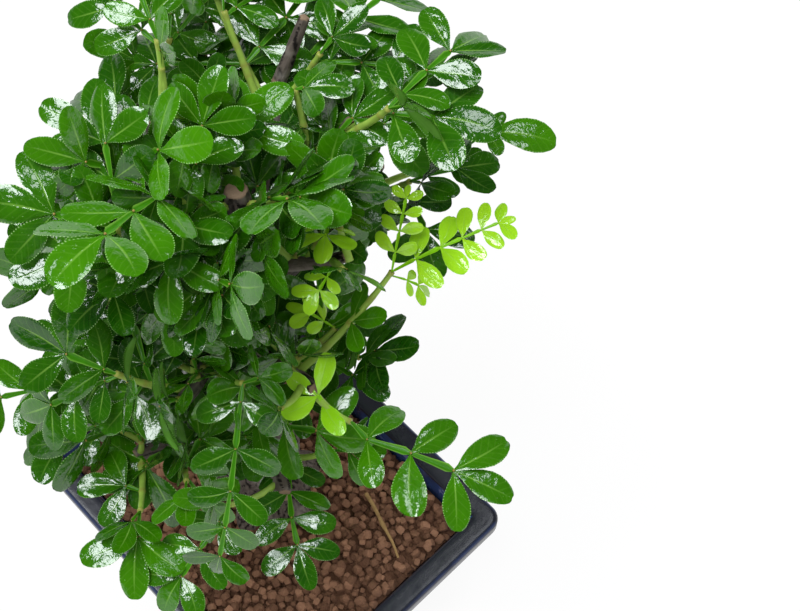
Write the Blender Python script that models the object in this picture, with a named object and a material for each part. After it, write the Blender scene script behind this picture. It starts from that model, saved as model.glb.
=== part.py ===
"""A pepper tree bonsai: a pruned woody trunk with short cut branches, green shoots that bear
feathered leaves, a bed of clay granules and a glazed rectangular pot with a broad lip, four feet
and two drain holes.

Metres, +Z up. The origin is on the table, under the middle of the tree and its pot together.
The pot's long side runs along X.
"""

import math

import bmesh
import bpy
from mathutils import Matrix, Quaternion, Vector
from mathutils.bvhtree import BVHTree

MM = 0.001
UP = Vector((0.0, 0.0, 1.0))

# ---------------------------------------------------------------- driving dimensions
GAP = 0.3 * MM  # left between two pieces that touch

# The pieces are modelled round the trunk's foot, then moved so that the whole is centred on the origin.
STANDING_SHIFT = Vector((-6.4, -14.8, 0.0)) * MM

POT_LENGTH, POT_WIDTH, POT_HEIGHT = 152 * MM, 118 * MM, 55 * MM
POT_CENTRE = Vector((0.0, -3.5, 0.0)) * MM  # the tree is planted a little behind the pot's middle
LIP_WIDTH, LIP_HEIGHT, LIP_OVERHANG = 9 * MM, 9 * MM, 7 * MM
LIP_ROUNDING = 1.5 * MM
CORNER_RADIUS, CORNER_RADIUS_INSIDE, CORNER_STEPS = 6 * MM, 3 * MM, 4
WALL_TAPER = 6 * MM  # how far each wall leans in on its way down
WALL_EASING = 2 * MM  # chamfer under the lip and round the floor
FOOT_HEIGHT, FOOT_LENGTH, FOOT_WIDTH, FOOT_INSET = 7 * MM, 22 * MM, 16 * MM, 3 * MM
FOOT_TAPER, FOOT_ROUNDING = 0.86, 2.5 * MM  # its size at the table as a share of its size at the floor
FLOOR_THICKNESS = 6 * MM
DRAIN_RADIUS, DRAIN_OFFSET, DRAIN_SIDES = 7 * MM, 34 * MM, 16

SCREEN_CELLS, SCREEN_CELL, SCREEN_THICKNESS = 7, 3 * MM, 0.8 * MM

SOIL_EDGE, SOIL_CROWN = 47.5 * MM, 50.5 * MM  # heights of the granules at the wall and near the trunk
SOIL_SLOPE = 28 * MM  # distance in from the wall over which they rise
SOIL_CORNER = 1.2 * MM  # each corner of the bed is drawn in to clear the pot's round one
LUMP_HALF_PITCH, LUMP_HEIGHT = 7 * MM, 3 * MM  # the granules' main relief

TRUNK_PATH = [  # centre line and radius, from the buried root crown to the pruned top, in millimetres
    (0, 0, 41, 12.0),
    (0, 0, 50, 13.0),
    (0, 0, 57, 12.2),
    (0, 0, 70, 11.2),
    (6, -2, 86, 10.4),
    (8, 0, 104, 9.8),
    (2, 4, 124, 9.2),
    (-6, 6, 148, 8.2),
    (-9, 8, 174, 7.2),
    (-6, 11, 200, 6.0),
    (-4, 13, 224, 4.6),
    (-5, 14, 244, 3.4),
]
TRUNK_SIDES, TRUNK_STEPS = 15, 2
ROOT_COUNT, ROOT_REACH = 5, 11 * MM  # buttress roots at the foot of the trunk
ROOT_TOP, ROOT_LEVEL = 70 * MM, 54 * MM  # where they leave the trunk, and where they are widest
ROOT_VALLEY = 0.35  # share of the reach that is left between two roots
ROOT_POCKET_SCALE = 1.03  # the pocket in the granules is wider than the roots' flat faces

BRANCH_SIDES, BRANCH_STEPS = 7, 2
BRANCH_BASE_SHARE, BRANCH_TIP_SHARE = 0.52, 0.32  # of the trunk's radius where the branch leaves it
BRANCH_TURN_UP = (-8, 0, 10)  # degrees added to the rise on each third of a branch
# name, height on the trunk in mm, compass angle from +X in degrees, length in mm, rise in degrees,
# vigour of its shoots
BRANCHES = [
    ("branch_low_front_right", 126, -30, 30, 8, 1.0),
    ("branch_low_front_left", 134, -100, 40, 2, 1.25),
    ("branch_low_left", 130, -168, 40, 10, 1.0),
    ("branch_low_back", 138, 134, 42, 16, 1.0),
    ("branch_low_right", 142, 60, 26, 8, 0.6),
    ("branch_mid_right", 168, -2, 34, 16, 0.9),
    ("branch_mid_front", 176, -64, 34, 14, 1.0),
    ("branch_mid_left", 172, -132, 42, 18, 1.0),
    ("branch_mid_back_left", 182, 164, 44, 22, 1.0),
    ("branch_mid_back_right", 174, 86, 54, 20, 1.0),
    ("branch_top_right", 206, 30, 34, 30, 0.9),
    ("branch_top_front", 214, -84, 26, 34, 1.0),
    ("branch_top_back", 200, 122, 52, 34, 1.0),
    ("branch_top_left", 226, -168, 30, 30, 1.0),
    ("branch_top_back_right", 218, 84, 44, 32, 1.0),
]

SHOOT_RADIUS, SHOOT_TIP_RADIUS = 1.3 * MM, 0.9 * MM
SHOOT_CLIMB_SHARE = 0.5  # of its branch's rise, which the shoot's own climb is added to
WEAK_SHOOT = 0.7  # up to this vigour the leaves are small, with one pair of leaflets
FULL_LEAVES, WEAK_LEAVES = (1.0, 2), (0.85, 1)  # scale, pairs of leaflets
YOUNG_LEAVES, STRAY_LEAVES = ("young_leaf", 0.8), ("leaf", 1.1)  # colour, scale
SHOOT_ARCH = math.radians(16)  # how far a shoot bends up over its length
SHOOT_NODE = 1.6 * MM  # length of stem that one leaf base takes
# where each shoot leaves its branch as a share of its length, its turn to the side and climb in degrees,
# its length in mm and its bend to the side in degrees
SHOOTS_ON_BRANCH = [("a", 0.62, 58, 26, 22, 16), ("b", 0.88, -50, 30, 24, -18)]
# below the pruned top of the trunk: name, height in mm, angle, climb in degrees, length in mm
SHOOTS_AT_TOP = [
    ("shoot_top_a", 239, 20, 38, 20),
    ("shoot_top_b", 239, 140, 44, 18),
    ("shoot_top_c", 239, -100, 40, 20),
]
# shoots that stand out of the crown: name, branch, share of its length, angle, climb, length in mm, bend,
# pairs of leaflets on a leaf, shares of the stem's length where side leaves stand
STRAY_SHOOTS = [
    ("young_shoot_right", "branch_mid_right", 0.74, 72, 36, 46, 8, 3, (0.9,)),
    ("long_shoot_low_right", "branch_mid_right", 0.97, -8, -2, 15, 24, 3, ()),
    ("long_shoot_back_right", "branch_mid_back_right", 0.97, 72, 14, 22, -34, 2, (0.5,)),
    ("long_shoot_low_front", "branch_low_front_left", 0.97, -30, 12, 22, -10, 2, ()),
]
LEAF_PLACES = (0.25, 0.65)  # the same on the other shoots
# angles in degrees that a leaf tries until it is clear of its neighbours
END_LEAF_TILTS, END_LEAF_YAWS = (8, -14, 24, -30), (0, 20, -20)
SIDE_LEAF_SPREADS, SIDE_LEAF_LIFTS = (38, 24, 52), (14, -12, 34)

LEAF_THICKNESS = 0.6 * MM
LEAF_STALK = 7 * MM  # bare stalk below the first pair of leaflets
LEAF_PAIR_SPACING = 11 * MM
LEAF_RIB_WIDTH = 2.2 * MM  # the winged midrib
LEAF_NODE = 1.76 * MM  # length of midrib that one pair of leaflets takes
LEAFLET_LENGTH, LEAFLET_WIDTH = 15 * MM, 9.5 * MM
LEAFLET_WIDEST = 0.6  # share of its length
LEAFLET_ANGLE = math.radians(62)  # between a leaflet and the midrib
LEAF_DROOP = math.radians(9)  # added at each pair
LEAF_CLEARANCE = 0.45 * MM

DRY_STALK_PATH = [(30, 24), (44, 20), (58, 15)]  # on the granules, in millimetres from the trunk's foot
DRY_STALK_RADIUS, DRY_STALK_SIDES, DRY_STALK_STEPS = 0.9 * MM, 6, 3

SHARP_ANGLE = math.radians(40)  # edges that turn by more are shaded sharp

COLOURS = {  # linear colour, roughness
    "glaze": ((0.010, 0.014, 0.035), 0.12),
    "granules": ((0.16, 0.075, 0.045), 0.95),
    "screen": ((0.015, 0.015, 0.015), 0.5),
    "bark": ((0.13, 0.10, 0.08), 0.85),
    "leaf": ((0.018, 0.125, 0.012), 0.25),
    "young_leaf": ((0.16, 0.42, 0.02), 0.3),
    "dry_stalk": ((0.25, 0.17, 0.06), 0.8),
}


# ---------------------------------------------------------------- helpers
def clear_scene():
    for obj in list(bpy.data.objects):
        bpy.data.objects.remove(obj)


def material(name):
    found = bpy.data.materials.get(name)
    if found:
        return found
    made = bpy.data.materials.new(name)
    made.use_nodes = True
    colour, roughness = COLOURS[name]
    shader = made.node_tree.nodes["Principled BSDF"]
    shader.inputs["Base Color"].default_value = (*colour, 1.0)
    shader.inputs["Roughness"].default_value = roughness
    shader.inputs["Metallic"].default_value = 0.0  # nothing here is metal
    return made


def add_object(name, bm, material_name, smooth=True):
    bmesh.ops.recalc_face_normals(bm, faces=bm.faces)
    mesh = bpy.data.meshes.new(name)
    bm.to_mesh(mesh)
    bm.free()
    mesh.materials.append(material(material_name))
    if smooth:
        mesh.shade_smooth()
        mesh.set_sharp_from_angle(angle=SHARP_ANGLE)
    obj = bpy.data.objects.new(name, mesh)
    bpy.context.scene.collection.objects.link(obj)
    return obj


def cutter(obj):
    obj.hide_render = True
    obj.display_type = "WIRE"
    return obj


def apply_boolean(obj, other, operation):
    """Joins or cuts obj's mesh by other's for good, and removes other."""
    modifier = obj.modifiers.new(operation.lower(), "BOOLEAN")
    modifier.operation = operation
    modifier.object = other
    bpy.context.view_layer.update()
    graph = bpy.context.evaluated_depsgraph_get()
    result = bpy.data.meshes.new_from_object(obj.evaluated_get(graph))
    obj.modifiers.clear()
    obj.data = result
    bpy.data.objects.remove(other)


def direction(angle, rise):
    """A unit vector at a compass angle from +X and a rise above the horizontal, in degrees."""
    a, r = math.radians(angle), math.radians(rise)
    return Vector((math.cos(a) * math.cos(r), math.sin(a) * math.cos(r), math.sin(r)))


def ring_stack(rings):
    """A closed surface that grows from the first ring of points through the others to the last."""
    bm = bmesh.new()
    first = [bm.verts.new(point) for point in rings[0]]
    face = bm.faces.new(first)
    for ring in rings[1:]:
        face = bmesh.ops.extrude_discrete_faces(bm, faces=[face])["faces"][0]
        for vert, point in zip(face.verts, ring):
            vert.co = point
    bm.faces.new(first[::-1])
    bent = [f for f in bm.faces if len(f.verts) == 4]
    bmesh.ops.triangulate(bm, faces=bent, quad_method="FIXED")  # a piece and its pocket fold alike
    return bm


def smooth_path(points, steps):
    """Points on a curve through the given ones, with this many stretches between each two."""
    found = []
    last = len(points) - 1
    for i in range(last):
        before, here, there, after = (points[min(max(i + k, 0), last)] for k in (-1, 0, 1, 2))
        for step in range(steps):
            t = step / steps
            found.append(
                0.5
                * (
                    2 * here
                    + (there - before) * t
                    + (2 * before - 5 * here + 4 * there - after) * t**2
                    + (3 * here - before - 3 * there + after) * t**3
                )
            )
    return [*found, points[last]]


def tube_rings(path, radii, sides, swell=lambda point, angle: 0.0):
    """Rings of points square to a path; swell adds to the radius at a point and an angle."""
    rings = []
    turned = None
    for i, (point, radius) in enumerate(zip(path, radii)):
        tangent = (path[min(i + 1, len(path) - 1)] - path[max(i - 1, 0)]).normalized()
        if turned is None:
            turned = Matrix.Identity(3)
            turned.rotate(UP.rotation_difference(tangent))
        else:
            turned.rotate(before.rotation_difference(tangent))
        before = tangent
        ring = []
        for side in range(sides):
            angle = 2 * math.pi * side / sides
            reach = radius + swell(point, angle)
            ring.append(point + turned @ Vector((math.cos(angle), math.sin(angle), 0)) * reach)
        rings.append(ring)
    return rings


# ---------------------------------------------------------------- pot
def rounded_rectangle(length, width, radius, z):
    """Corner arcs round a level rectangle about the pot's centre, anticlockwise."""
    points = []
    for quarter, (sx, sy) in enumerate(((1, 1), (-1, 1), (-1, -1), (1, -1))):
        centre = POT_CENTRE + Vector((sx * (length / 2 - radius), sy * (width / 2 - radius), z))
        for step in range(CORNER_STEPS + 1):
            angle = math.pi / 2 * (quarter + step / CORNER_STEPS)
            points.append(centre + Vector((math.cos(angle), math.sin(angle), 0)) * radius)
    return points


def inset_ring(inset, z):
    """The pot's outline moved in from the outside of the lip."""
    radius = max(CORNER_RADIUS - inset / 2, CORNER_RADIUS_INSIDE)
    return rounded_rectangle(POT_LENGTH - 2 * inset, POT_WIDTH - 2 * inset, radius, z)


def floor_height():
    return FOOT_HEIGHT + FLOOR_THICKNESS


def make_pot():
    under_lip = POT_HEIGHT - LIP_HEIGHT
    inner_top, inner_floor = LIP_WIDTH, LIP_WIDTH + WALL_TAPER
    outer_floor = LIP_OVERHANG + WALL_TAPER
    profile = [  # inset from the lip's outside, height
        (outer_floor + WALL_EASING, FOOT_HEIGHT),
        (outer_floor, FOOT_HEIGHT + WALL_EASING),
        (LIP_OVERHANG, under_lip - WALL_EASING),
        (LIP_OVERHANG - WALL_EASING, under_lip),
        (LIP_ROUNDING / 2, under_lip),
        (0, under_lip + LIP_ROUNDING),
        (0, POT_HEIGHT - LIP_ROUNDING),
        (LIP_ROUNDING, POT_HEIGHT),
        (inner_top - LIP_ROUNDING, POT_HEIGHT),
        (inner_top, POT_HEIGHT - LIP_ROUNDING),
        (inner_floor, floor_height()),
    ]
    pot = add_object("pot", ring_stack([inset_ring(*row) for row in profile]), "glaze")
    foot_x = POT_LENGTH / 2 - outer_floor - FOOT_INSET - FOOT_LENGTH / 2
    foot_y = POT_WIDTH / 2 - outer_floor - FOOT_INSET - FOOT_WIDTH / 2
    for sx in (-1, 1):
        for sy in (-1, 1):
            apply_boolean(pot, make_foot(sx * foot_x, sy * foot_y), "UNION")
        apply_boolean(pot, make_drain_cutter(sx * DRAIN_OFFSET), "DIFFERENCE")
    pot.data.shade_smooth()
    pot.data.set_sharp_from_angle(angle=SHARP_ANGLE)
    return pot


def make_foot(x, y):
    bm = bmesh.new()
    bmesh.ops.create_cube(bm, size=1)
    height = FOOT_HEIGHT + FLOOR_THICKNESS / 2
    bmesh.ops.scale(bm, vec=(FOOT_LENGTH, FOOT_WIDTH, height), verts=bm.verts)
    for vert in bm.verts:  # a foot narrows towards the table
        if vert.co.z < 0:
            vert.co.x *= FOOT_TAPER
            vert.co.y *= FOOT_TAPER
    bmesh.ops.translate(bm, vec=POT_CENTRE + Vector((x, y, height / 2)), verts=bm.verts)
    upright = [e for e in bm.edges if abs(e.verts[0].co.z - e.verts[1].co.z) > height / 2]
    bmesh.ops.bevel(bm, geom=upright, offset=FOOT_ROUNDING, segments=2, affect="EDGES", profile=0.5)
    return cutter(add_object("foot", bm, "glaze"))


def make_drain_cutter(x):
    bm = bmesh.new()
    depth = 3 * FLOOR_THICKNESS  # past both faces of the floor
    bmesh.ops.create_cone(
        bm,
        cap_ends=True,
        segments=DRAIN_SIDES,
        radius1=DRAIN_RADIUS,
        radius2=DRAIN_RADIUS,
        depth=depth,
        matrix=Matrix.Translation(POT_CENTRE + Vector((x, 0, FOOT_HEIGHT + FLOOR_THICKNESS / 2))),
    )
    return cutter(add_object("drain", bm, "glaze"))


# ---------------------------------------------------------------- screens and granules
def screen_size():
    return SCREEN_CELLS * SCREEN_CELL


def make_screen(name, x):
    """A square plastic screen that keeps the granules out of a drain hole."""
    bm = bmesh.new()
    bmesh.ops.create_grid(bm, x_segments=SCREEN_CELLS, y_segments=SCREEN_CELLS, size=screen_size() / 2)
    holes = []
    for face in bm.faces:
        column, row = (int((c + screen_size() / 2) / SCREEN_CELL) for c in face.calc_center_median()[:2])
        if column % 2 and row % 2:
            holes.append(face)
    bmesh.ops.delete(bm, geom=holes, context="FACES_ONLY")
    bmesh.ops.translate(bm, vec=POT_CENTRE + Vector((x, 0, floor_height() + GAP)), verts=bm.verts)
    lifted = bmesh.ops.extrude_face_region(bm, geom=bm.faces[:])["geom"]
    raised = [g for g in lifted if isinstance(g, bmesh.types.BMVert)]
    bmesh.ops.translate(bm, vec=(0, 0, SCREEN_THICKNESS), verts=raised)
    return add_object(name, bm, "screen", smooth=False)


def make_box_cutter(centre, size):
    bm = bmesh.new()
    bmesh.ops.create_cube(bm, size=1)
    bmesh.ops.scale(bm, vec=size, verts=bm.verts)
    bmesh.ops.translate(bm, vec=centre, verts=bm.verts)
    return cutter(add_object("box_cutter", bm, "granules", smooth=False))


def bed_height(x, y):
    """The height of the granules' tops at a place measured from the pot's centre."""
    inward = min(POT_LENGTH / 2 - abs(x), POT_WIDTH / 2 - abs(y)) - LIP_WIDTH
    share = min(inward / SOIL_SLOPE, 1.0)
    return SOIL_EDGE + (SOIL_CROWN - SOIL_EDGE) * (1 - (1 - share) ** 2)


def bed_mesh(length, width, floor_inset):
    """The granules as one closed form: lumps on top, level along the walls and flat on the pot's floor."""
    bm = bmesh.new()
    columns, rows = (2 * round(side / LUMP_HALF_PITCH / 2) for side in (length, width))
    bmesh.ops.create_grid(bm, x_segments=columns, y_segments=rows, size=0.5)
    for vert in bm.verts:
        column, row = round((vert.co.x + 0.5) * columns), round((vert.co.y + 0.5) * rows)
        x, y = vert.co.x * length, vert.co.y * width
        if len(vert.link_faces) == 1:
            x -= math.copysign(SOIL_CORNER, x)
            y -= math.copysign(SOIL_CORNER, y)
        if vert.is_boundary:
            vert.co = (x, y, SOIL_EDGE)
        else:
            top_of_lump = column % 2 and row % 2
            vert.co = (x, y, bed_height(x, y) - (0 if top_of_lump else LUMP_HEIGHT))
    lowered = bmesh.ops.extrude_face_region(bm, geom=bm.faces[:])["geom"]
    floor = [g for g in lowered if isinstance(g, bmesh.types.BMFace)]
    for vert in {v for face in floor for v in face.verts}:
        vert.co.x *= 1 - 2 * floor_inset / length
        vert.co.y *= 1 - 2 * floor_inset / width
        vert.co.z = floor_height() + GAP
    bmesh.ops.dissolve_faces(bm, faces=floor, use_verts=True)
    bmesh.ops.translate(bm, vec=POT_CENTRE, verts=bm.verts)
    return bm


def make_soil():
    inner_floor = LIP_WIDTH + WALL_TAPER
    wall_height = POT_HEIGHT - LIP_ROUNDING - floor_height()
    lean = WALL_TAPER * (SOIL_EDGE - floor_height()) / wall_height
    edge_inset = inner_floor - lean + GAP
    bed = bed_mesh(POT_LENGTH - 2 * edge_inset, POT_WIDTH - 2 * edge_inset, lean)
    soil = add_object("granule_bed", bed, "granules")
    pocket = SCREEN_THICKNESS + 2 * GAP
    for sx in (-1, 1):
        centre = POT_CENTRE + Vector((sx * DRAIN_OFFSET, 0, floor_height()))
        size = (screen_size() + 2 * GAP, screen_size() + 2 * GAP, 2 * pocket)
        apply_boolean(soil, make_box_cutter(centre, size), "DIFFERENCE")
    pocket_mesh = trunk_mesh(GAP, ROOT_POCKET_SCALE)
    apply_boolean(soil, cutter(add_object("root_pocket", pocket_mesh, "bark")), "DIFFERENCE")
    return soil


def make_dry_stalk():
    """A shed leaf stalk lying on the granules."""
    points = []
    for x, y in DRY_STALK_PATH:
        point = Vector((x, y, 0)) * MM
        away = point - POT_CENTRE
        points.append(point + UP * (bed_height(away.x, away.y) + DRY_STALK_RADIUS + GAP))
    path = smooth_path(points, DRY_STALK_STEPS)
    radii = [DRY_STALK_RADIUS] * len(path)
    rings = tube_rings(path, radii, DRY_STALK_SIDES)
    return add_object("dry_leaf_stalk", ring_stack(rings), "dry_stalk")


# ---------------------------------------------------------------- trunk and branches
def trunk_line():
    return [(Vector(row[:3]) * MM, row[3] * MM) for row in TRUNK_PATH]


def trunk_point(height):
    """The trunk's centre and radius at a height in millimetres."""
    line = trunk_line()
    for (low, low_radius), (high, high_radius) in zip(line, line[1:]):
        if low.z <= height * MM <= high.z:
            t = (height * MM - low.z) / (high.z - low.z)
            return low.lerp(high, t), low_radius + (high_radius - low_radius) * t
    return line[-1]


def root_swell(point, angle):
    """How far the buttress roots stand out of the trunk's foot."""
    if point.z > ROOT_TOP:
        return 0.0
    share = min((ROOT_TOP - point.z) / (ROOT_TOP - ROOT_LEVEL), 1.0)
    ridge = ROOT_VALLEY + (1 - ROOT_VALLEY) * max(math.cos(ROOT_COUNT * angle), 0.0)
    return ROOT_REACH * ridge * share**2


def trunk_mesh(extra=0.0, root_scale=1.0):
    """The trunk's surface, moved out by extra for the pockets that its neighbours leave for it."""
    line = trunk_line()
    path = smooth_path([point for point, _ in line], TRUNK_STEPS)
    radii = []
    for i in range(len(path)):
        here = i / TRUNK_STEPS
        low = min(int(here), len(line) - 2)
        blend = here - low
        radii.append(line[low][1] * (1 - blend) + line[low + 1][1] * blend + extra)
    rings = tube_rings(path, radii, TRUNK_SIDES, lambda point, angle: root_scale * root_swell(point, angle))
    rings[0] = [point - UP * extra for point in rings[0]]
    rings[-1] = [point + UP * extra for point in rings[-1]]
    return ring_stack(rings)


def branch_line(branch):
    """Points along a branch from the trunk's middle to its cut end: it sets out level and turns up."""
    _, height, angle, length, rise, _ = branch
    start, trunk_radius = trunk_point(height)
    reach = (length * MM + trunk_radius) / len(BRANCH_TURN_UP)
    points = [start]
    for turn_up in BRANCH_TURN_UP:
        points.append(points[-1] + direction(angle, rise + turn_up) * reach)
    return smooth_path(points, BRANCH_STEPS)


def branch_radius(branch, share):
    _, trunk_radius = trunk_point(branch[1])
    return trunk_radius * (BRANCH_BASE_SHARE + (BRANCH_TIP_SHARE - BRANCH_BASE_SHARE) * share)


def make_branch(branch):
    path = branch_line(branch)
    radii = [branch_radius(branch, i / (len(path) - 1)) for i in range(len(path))]
    obj = add_object(branch[0], ring_stack(tube_rings(path, radii, BRANCH_SIDES)), "bark")
    apply_boolean(obj, cutter(add_object("trunk_space", trunk_mesh(GAP), "bark")), "DIFFERENCE")
    return obj


# ---------------------------------------------------------------- shoots and leaves
class Section:
    """A four-sided slice of a stem, a midrib or a leaflet."""

    def __init__(self, centre, side, up, half_width, half_height):
        self.centre, self.side, self.up = centre, side, up
        self.half_width, self.half_height = half_width, half_height

    def corner(self, side_sign, up_sign):
        across = self.side * (self.half_width * side_sign)
        return self.centre + across + self.up * (self.half_height * up_sign)

    def signs(self, point):
        away = point - self.centre
        return (1 if away.dot(self.side) > 0 else -1), (1 if away.dot(self.up) > 0 else -1)


def facing(face, side, up):
    """A section over a face, of no particular size: it only tells which corner is which."""
    return Section(face.calc_center_median(), side, up, 1, 1)


def start_face(bm, section):
    signs = ((-1, -1), (1, -1), (1, 1), (-1, 1))
    return bm.faces.new([bm.verts.new(section.corner(*sign)) for sign in signs])


def close_start(bm, verts):
    bm.faces.new(verts[::-1])


def grow(bm, face, before, after):
    """Extrudes the face of one section to the next and returns the new end face."""
    end = bmesh.ops.extrude_discrete_faces(bm, faces=[face])["faces"][0]
    for vert in end.verts:
        vert.co = after.corner(*before.signs(vert.co))
    return end


def wall_towards(end, way):
    """The side face of the stretch that ends in this face, on the side that a direction points to."""
    walls = [f for edge in end.edges for f in edge.link_faces if f is not end]
    return max(walls, key=lambda f: f.calc_center_median().dot(way))


class Leaf:
    """A feathered leaf: a stalk, pairs of leaflets on a winged midrib and one leaflet at the end."""

    def __init__(self, origin, way, up, pairs, scale, colour="leaf"):
        self.origin, self.way = origin, way.normalized()
        self.up = (up - self.way * up.dot(self.way)).normalized()
        self.pairs, self.scale, self.colour = pairs, scale, colour

    def grow_from(self, bm, face, before, margin=0.0):
        way, up = self.way.copy(), self.up.copy()
        side = up.cross(way)
        half_rib = LEAF_RIB_WIDTH / 2 + margin
        half_thick = LEAF_THICKNESS / 2 + margin
        centre = self.origin
        for pair in range(self.pairs):
            step = LEAF_STALK if pair == 0 else LEAF_PAIR_SPACING * self.scale
            centre = centre + way * step
            low = Section(centre, side, up, half_rib, half_thick)
            face = grow(bm, face, before, low)
            centre = centre + way * LEAF_NODE
            high = Section(centre, side, up, half_rib, half_thick)
            face = grow(bm, face, low, high)
            for sign in (-1, 1):
                wall = wall_towards(face, side * sign)
                self.grow_leaflet(bm, wall, centre - way * LEAF_NODE / 2, way, side * sign, up, margin)
            before = high
            turn = Quaternion(side, LEAF_DROOP)
            way, up = turn @ way, turn @ up
        self.finish_leaflet(bm, face, before, centre, way, up, margin)

    def grow_leaflet(self, bm, wall, root, way, out, up, margin):
        heading = way * math.cos(LEAFLET_ANGLE) + out * math.sin(LEAFLET_ANGLE)
        start = facing(wall, up.cross(heading), up)
        self.finish_leaflet(bm, wall, start, root, heading, up, margin)

    def finish_leaflet(self, bm, face, before, root, heading, up, margin):
        length, width = LEAFLET_LENGTH * self.scale, LEAFLET_WIDTH * self.scale
        across = up.cross(heading)
        middle = root + heading * length * LEAFLET_WIDEST + up * LEAF_THICKNESS
        widest = Section(middle, across, up, width / 2 + margin, LEAF_THICKNESS / 2 + margin)
        face = grow(bm, face, before, widest)
        poked = bmesh.ops.poke(bm, faces=[face])["verts"][0]
        poked.co = root + heading * (length + margin) - up * LEAF_THICKNESS

    def surface(self, margin):
        """The leaf alone, swollen by a margin, for testing that it is clear of its neighbours."""
        bm = bmesh.new()
        half = LEAF_RIB_WIDTH / 3  # within the stem that it grows from
        section = Section(self.origin, self.up.cross(self.way), self.up, half, half / 2)
        face = start_face(bm, section)
        self.grow_from(bm, face, section, margin)
        bm.faces.ensure_lookup_table()
        tree = BVHTree.FromBMesh(bm)
        bm.free()
        return tree


class Shoot:
    """A green stem that arches up from its seat, with places for leaves on its sides and one at its end."""

    def __init__(
        self, name, seat, way, length, bend=0.0, colour="leaf", scale=1.0, pairs=2, places=LEAF_PLACES
    ):
        self.name, self.colour, self.scale, self.pairs = name, colour, scale, pairs
        self.leaves = []
        self.sections = []
        self.slots = []
        level = way.cross(UP).normalized()
        share = [0.0]
        for place in places:
            share += [place - SHOOT_NODE / length, place]
        share.append(1.0)
        centre, heading, last = seat, way.normalized(), 0.0
        for i, place in enumerate(share):
            centre = centre + heading * length * (place - last)
            turn = Quaternion(UP, math.radians(bend) * (place - last))
            level = turn @ level
            heading = Quaternion(level, SHOOT_ARCH * (place - last)) @ turn @ heading
            up = level.cross(heading)
            half = (SHOOT_RADIUS + (SHOOT_TIP_RADIUS - SHOOT_RADIUS) * place) * math.sqrt(0.5)
            self.sections.append(Section(centre, level * -1, up, half, half))
            if i and i % 2 == 0 and place < 1.0:
                middle = centre - heading * SHOOT_NODE / 2
                self.slots.append((i, middle, heading.copy(), up.copy(), level.copy()))
            last = place
        self.end = (centre, heading.copy(), level.cross(heading))
        self.level = level

    def candidates(self, slot):
        """Ways in which a leaf can stand at a place on the stem, the best first."""
        if slot is None:
            centre, heading, up = self.end
            for tilt in END_LEAF_TILTS:
                for yaw in END_LEAF_YAWS:
                    turn = Quaternion(self.level, math.radians(-tilt)) @ Quaternion(up, math.radians(yaw))
                    yield None, Leaf(centre, turn @ heading, turn @ up, self.pairs, self.scale, self.colour)
            return
        _, centre, heading, up, level = slot
        first = 1 if (self.slots.index(slot) + len(self.slots)) % 2 else -1
        for sign in (first, -first):
            out = level * -sign
            for spread in SIDE_LEAF_SPREADS:
                for lift in SIDE_LEAF_LIFTS:
                    a, b = math.radians(spread), math.radians(lift)
                    way = (heading * math.sin(a) + out * math.cos(a)) * math.cos(b) + up * math.sin(b)
                    yield sign, Leaf(centre, way, up, self.pairs, self.scale, self.colour)

    def surface(self, margin):
        """The bare stem, swollen by a margin."""
        bm = self.build(margin)
        tree = BVHTree.FromBMesh(bm)
        bm.free()
        return tree

    def build(self, margin=0.0, leaves=()):
        """The shoot's mesh, with some leaves."""
        bm = bmesh.new()
        sections = []
        for s in self.sections:
            sections.append(Section(s.centre, s.side, s.up, s.half_width + margin, s.half_height + margin))
        face = start_face(bm, sections[0])
        first = face.verts[:]
        for i in range(1, len(sections)):
            face = grow(bm, face, sections[i - 1], sections[i])
            for slot, sign, leaf in leaves:
                if slot is not None and slot[0] == i:
                    wall = wall_towards(face, slot[4] * -sign)
                    leaf.grow_from(bm, wall, facing(wall, leaf.up.cross(leaf.way), leaf.up))
        for slot, _, leaf in leaves:
            if slot is None:
                leaf.grow_from(bm, face, sections[-1])
        close_start(bm, first)
        return bm


def seat_on(centre, heading, radius, way):
    """Where a shoot with this way starts on the skin of wood with this centre, heading and radius."""
    out = (way - heading * way.dot(heading)).normalized()
    lean = abs(way.dot(heading)) * SHOOT_RADIUS
    return centre + out * (radius + GAP + lean)


def seat_on_branch(branch, share, way):
    path = branch_line(branch)
    place = share * (len(path) - 1)
    low = min(int(place), len(path) - 2)
    centre = path[low].lerp(path[low + 1], place - low)
    heading = (path[low + 1] - path[low]).normalized()
    return seat_on(centre, heading, branch_radius(branch, share), way)


def plan_shoots():
    shoots = []
    for name, carrier, share, angle, climb, length, bend, pairs, places in STRAY_SHOOTS:
        branch = next(b for b in BRANCHES if b[0] == carrier)
        way = direction(angle, climb)
        seat = seat_on_branch(branch, share, way)
        colour, scale = YOUNG_LEAVES if name.startswith("young") else STRAY_LEAVES
        shoots.append(Shoot(name, seat, way, length * MM, bend, colour, scale, pairs, places))
    for branch in BRANCHES:
        name, _, angle, _, rise, vigour = branch
        for label, share, turn, climb, length, bend in SHOOTS_ON_BRANCH:
            way = direction(angle + turn, rise * SHOOT_CLIMB_SHARE + climb)
            seat = seat_on_branch(branch, share, way)
            scale, pairs = FULL_LEAVES if vigour > WEAK_SHOOT else WEAK_LEAVES
            shoot_name = name.replace("branch", "shoot") + "_" + label
            shoots.append(Shoot(shoot_name, seat, way, length * vigour * MM, bend, "leaf", scale, pairs))
    for name, height, angle, climb, length in SHOOTS_AT_TOP:
        way = direction(angle, climb)
        centre, radius = trunk_point(height)
        shoots.append(Shoot(name, seat_on(centre, UP, radius, way), way, length * MM))
    return shoots


def search_tree(obj):
    bm = bmesh.new()
    bm.from_mesh(obj.data)
    tree = BVHTree.FromBMesh(bm)
    bm.free()
    return tree


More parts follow.
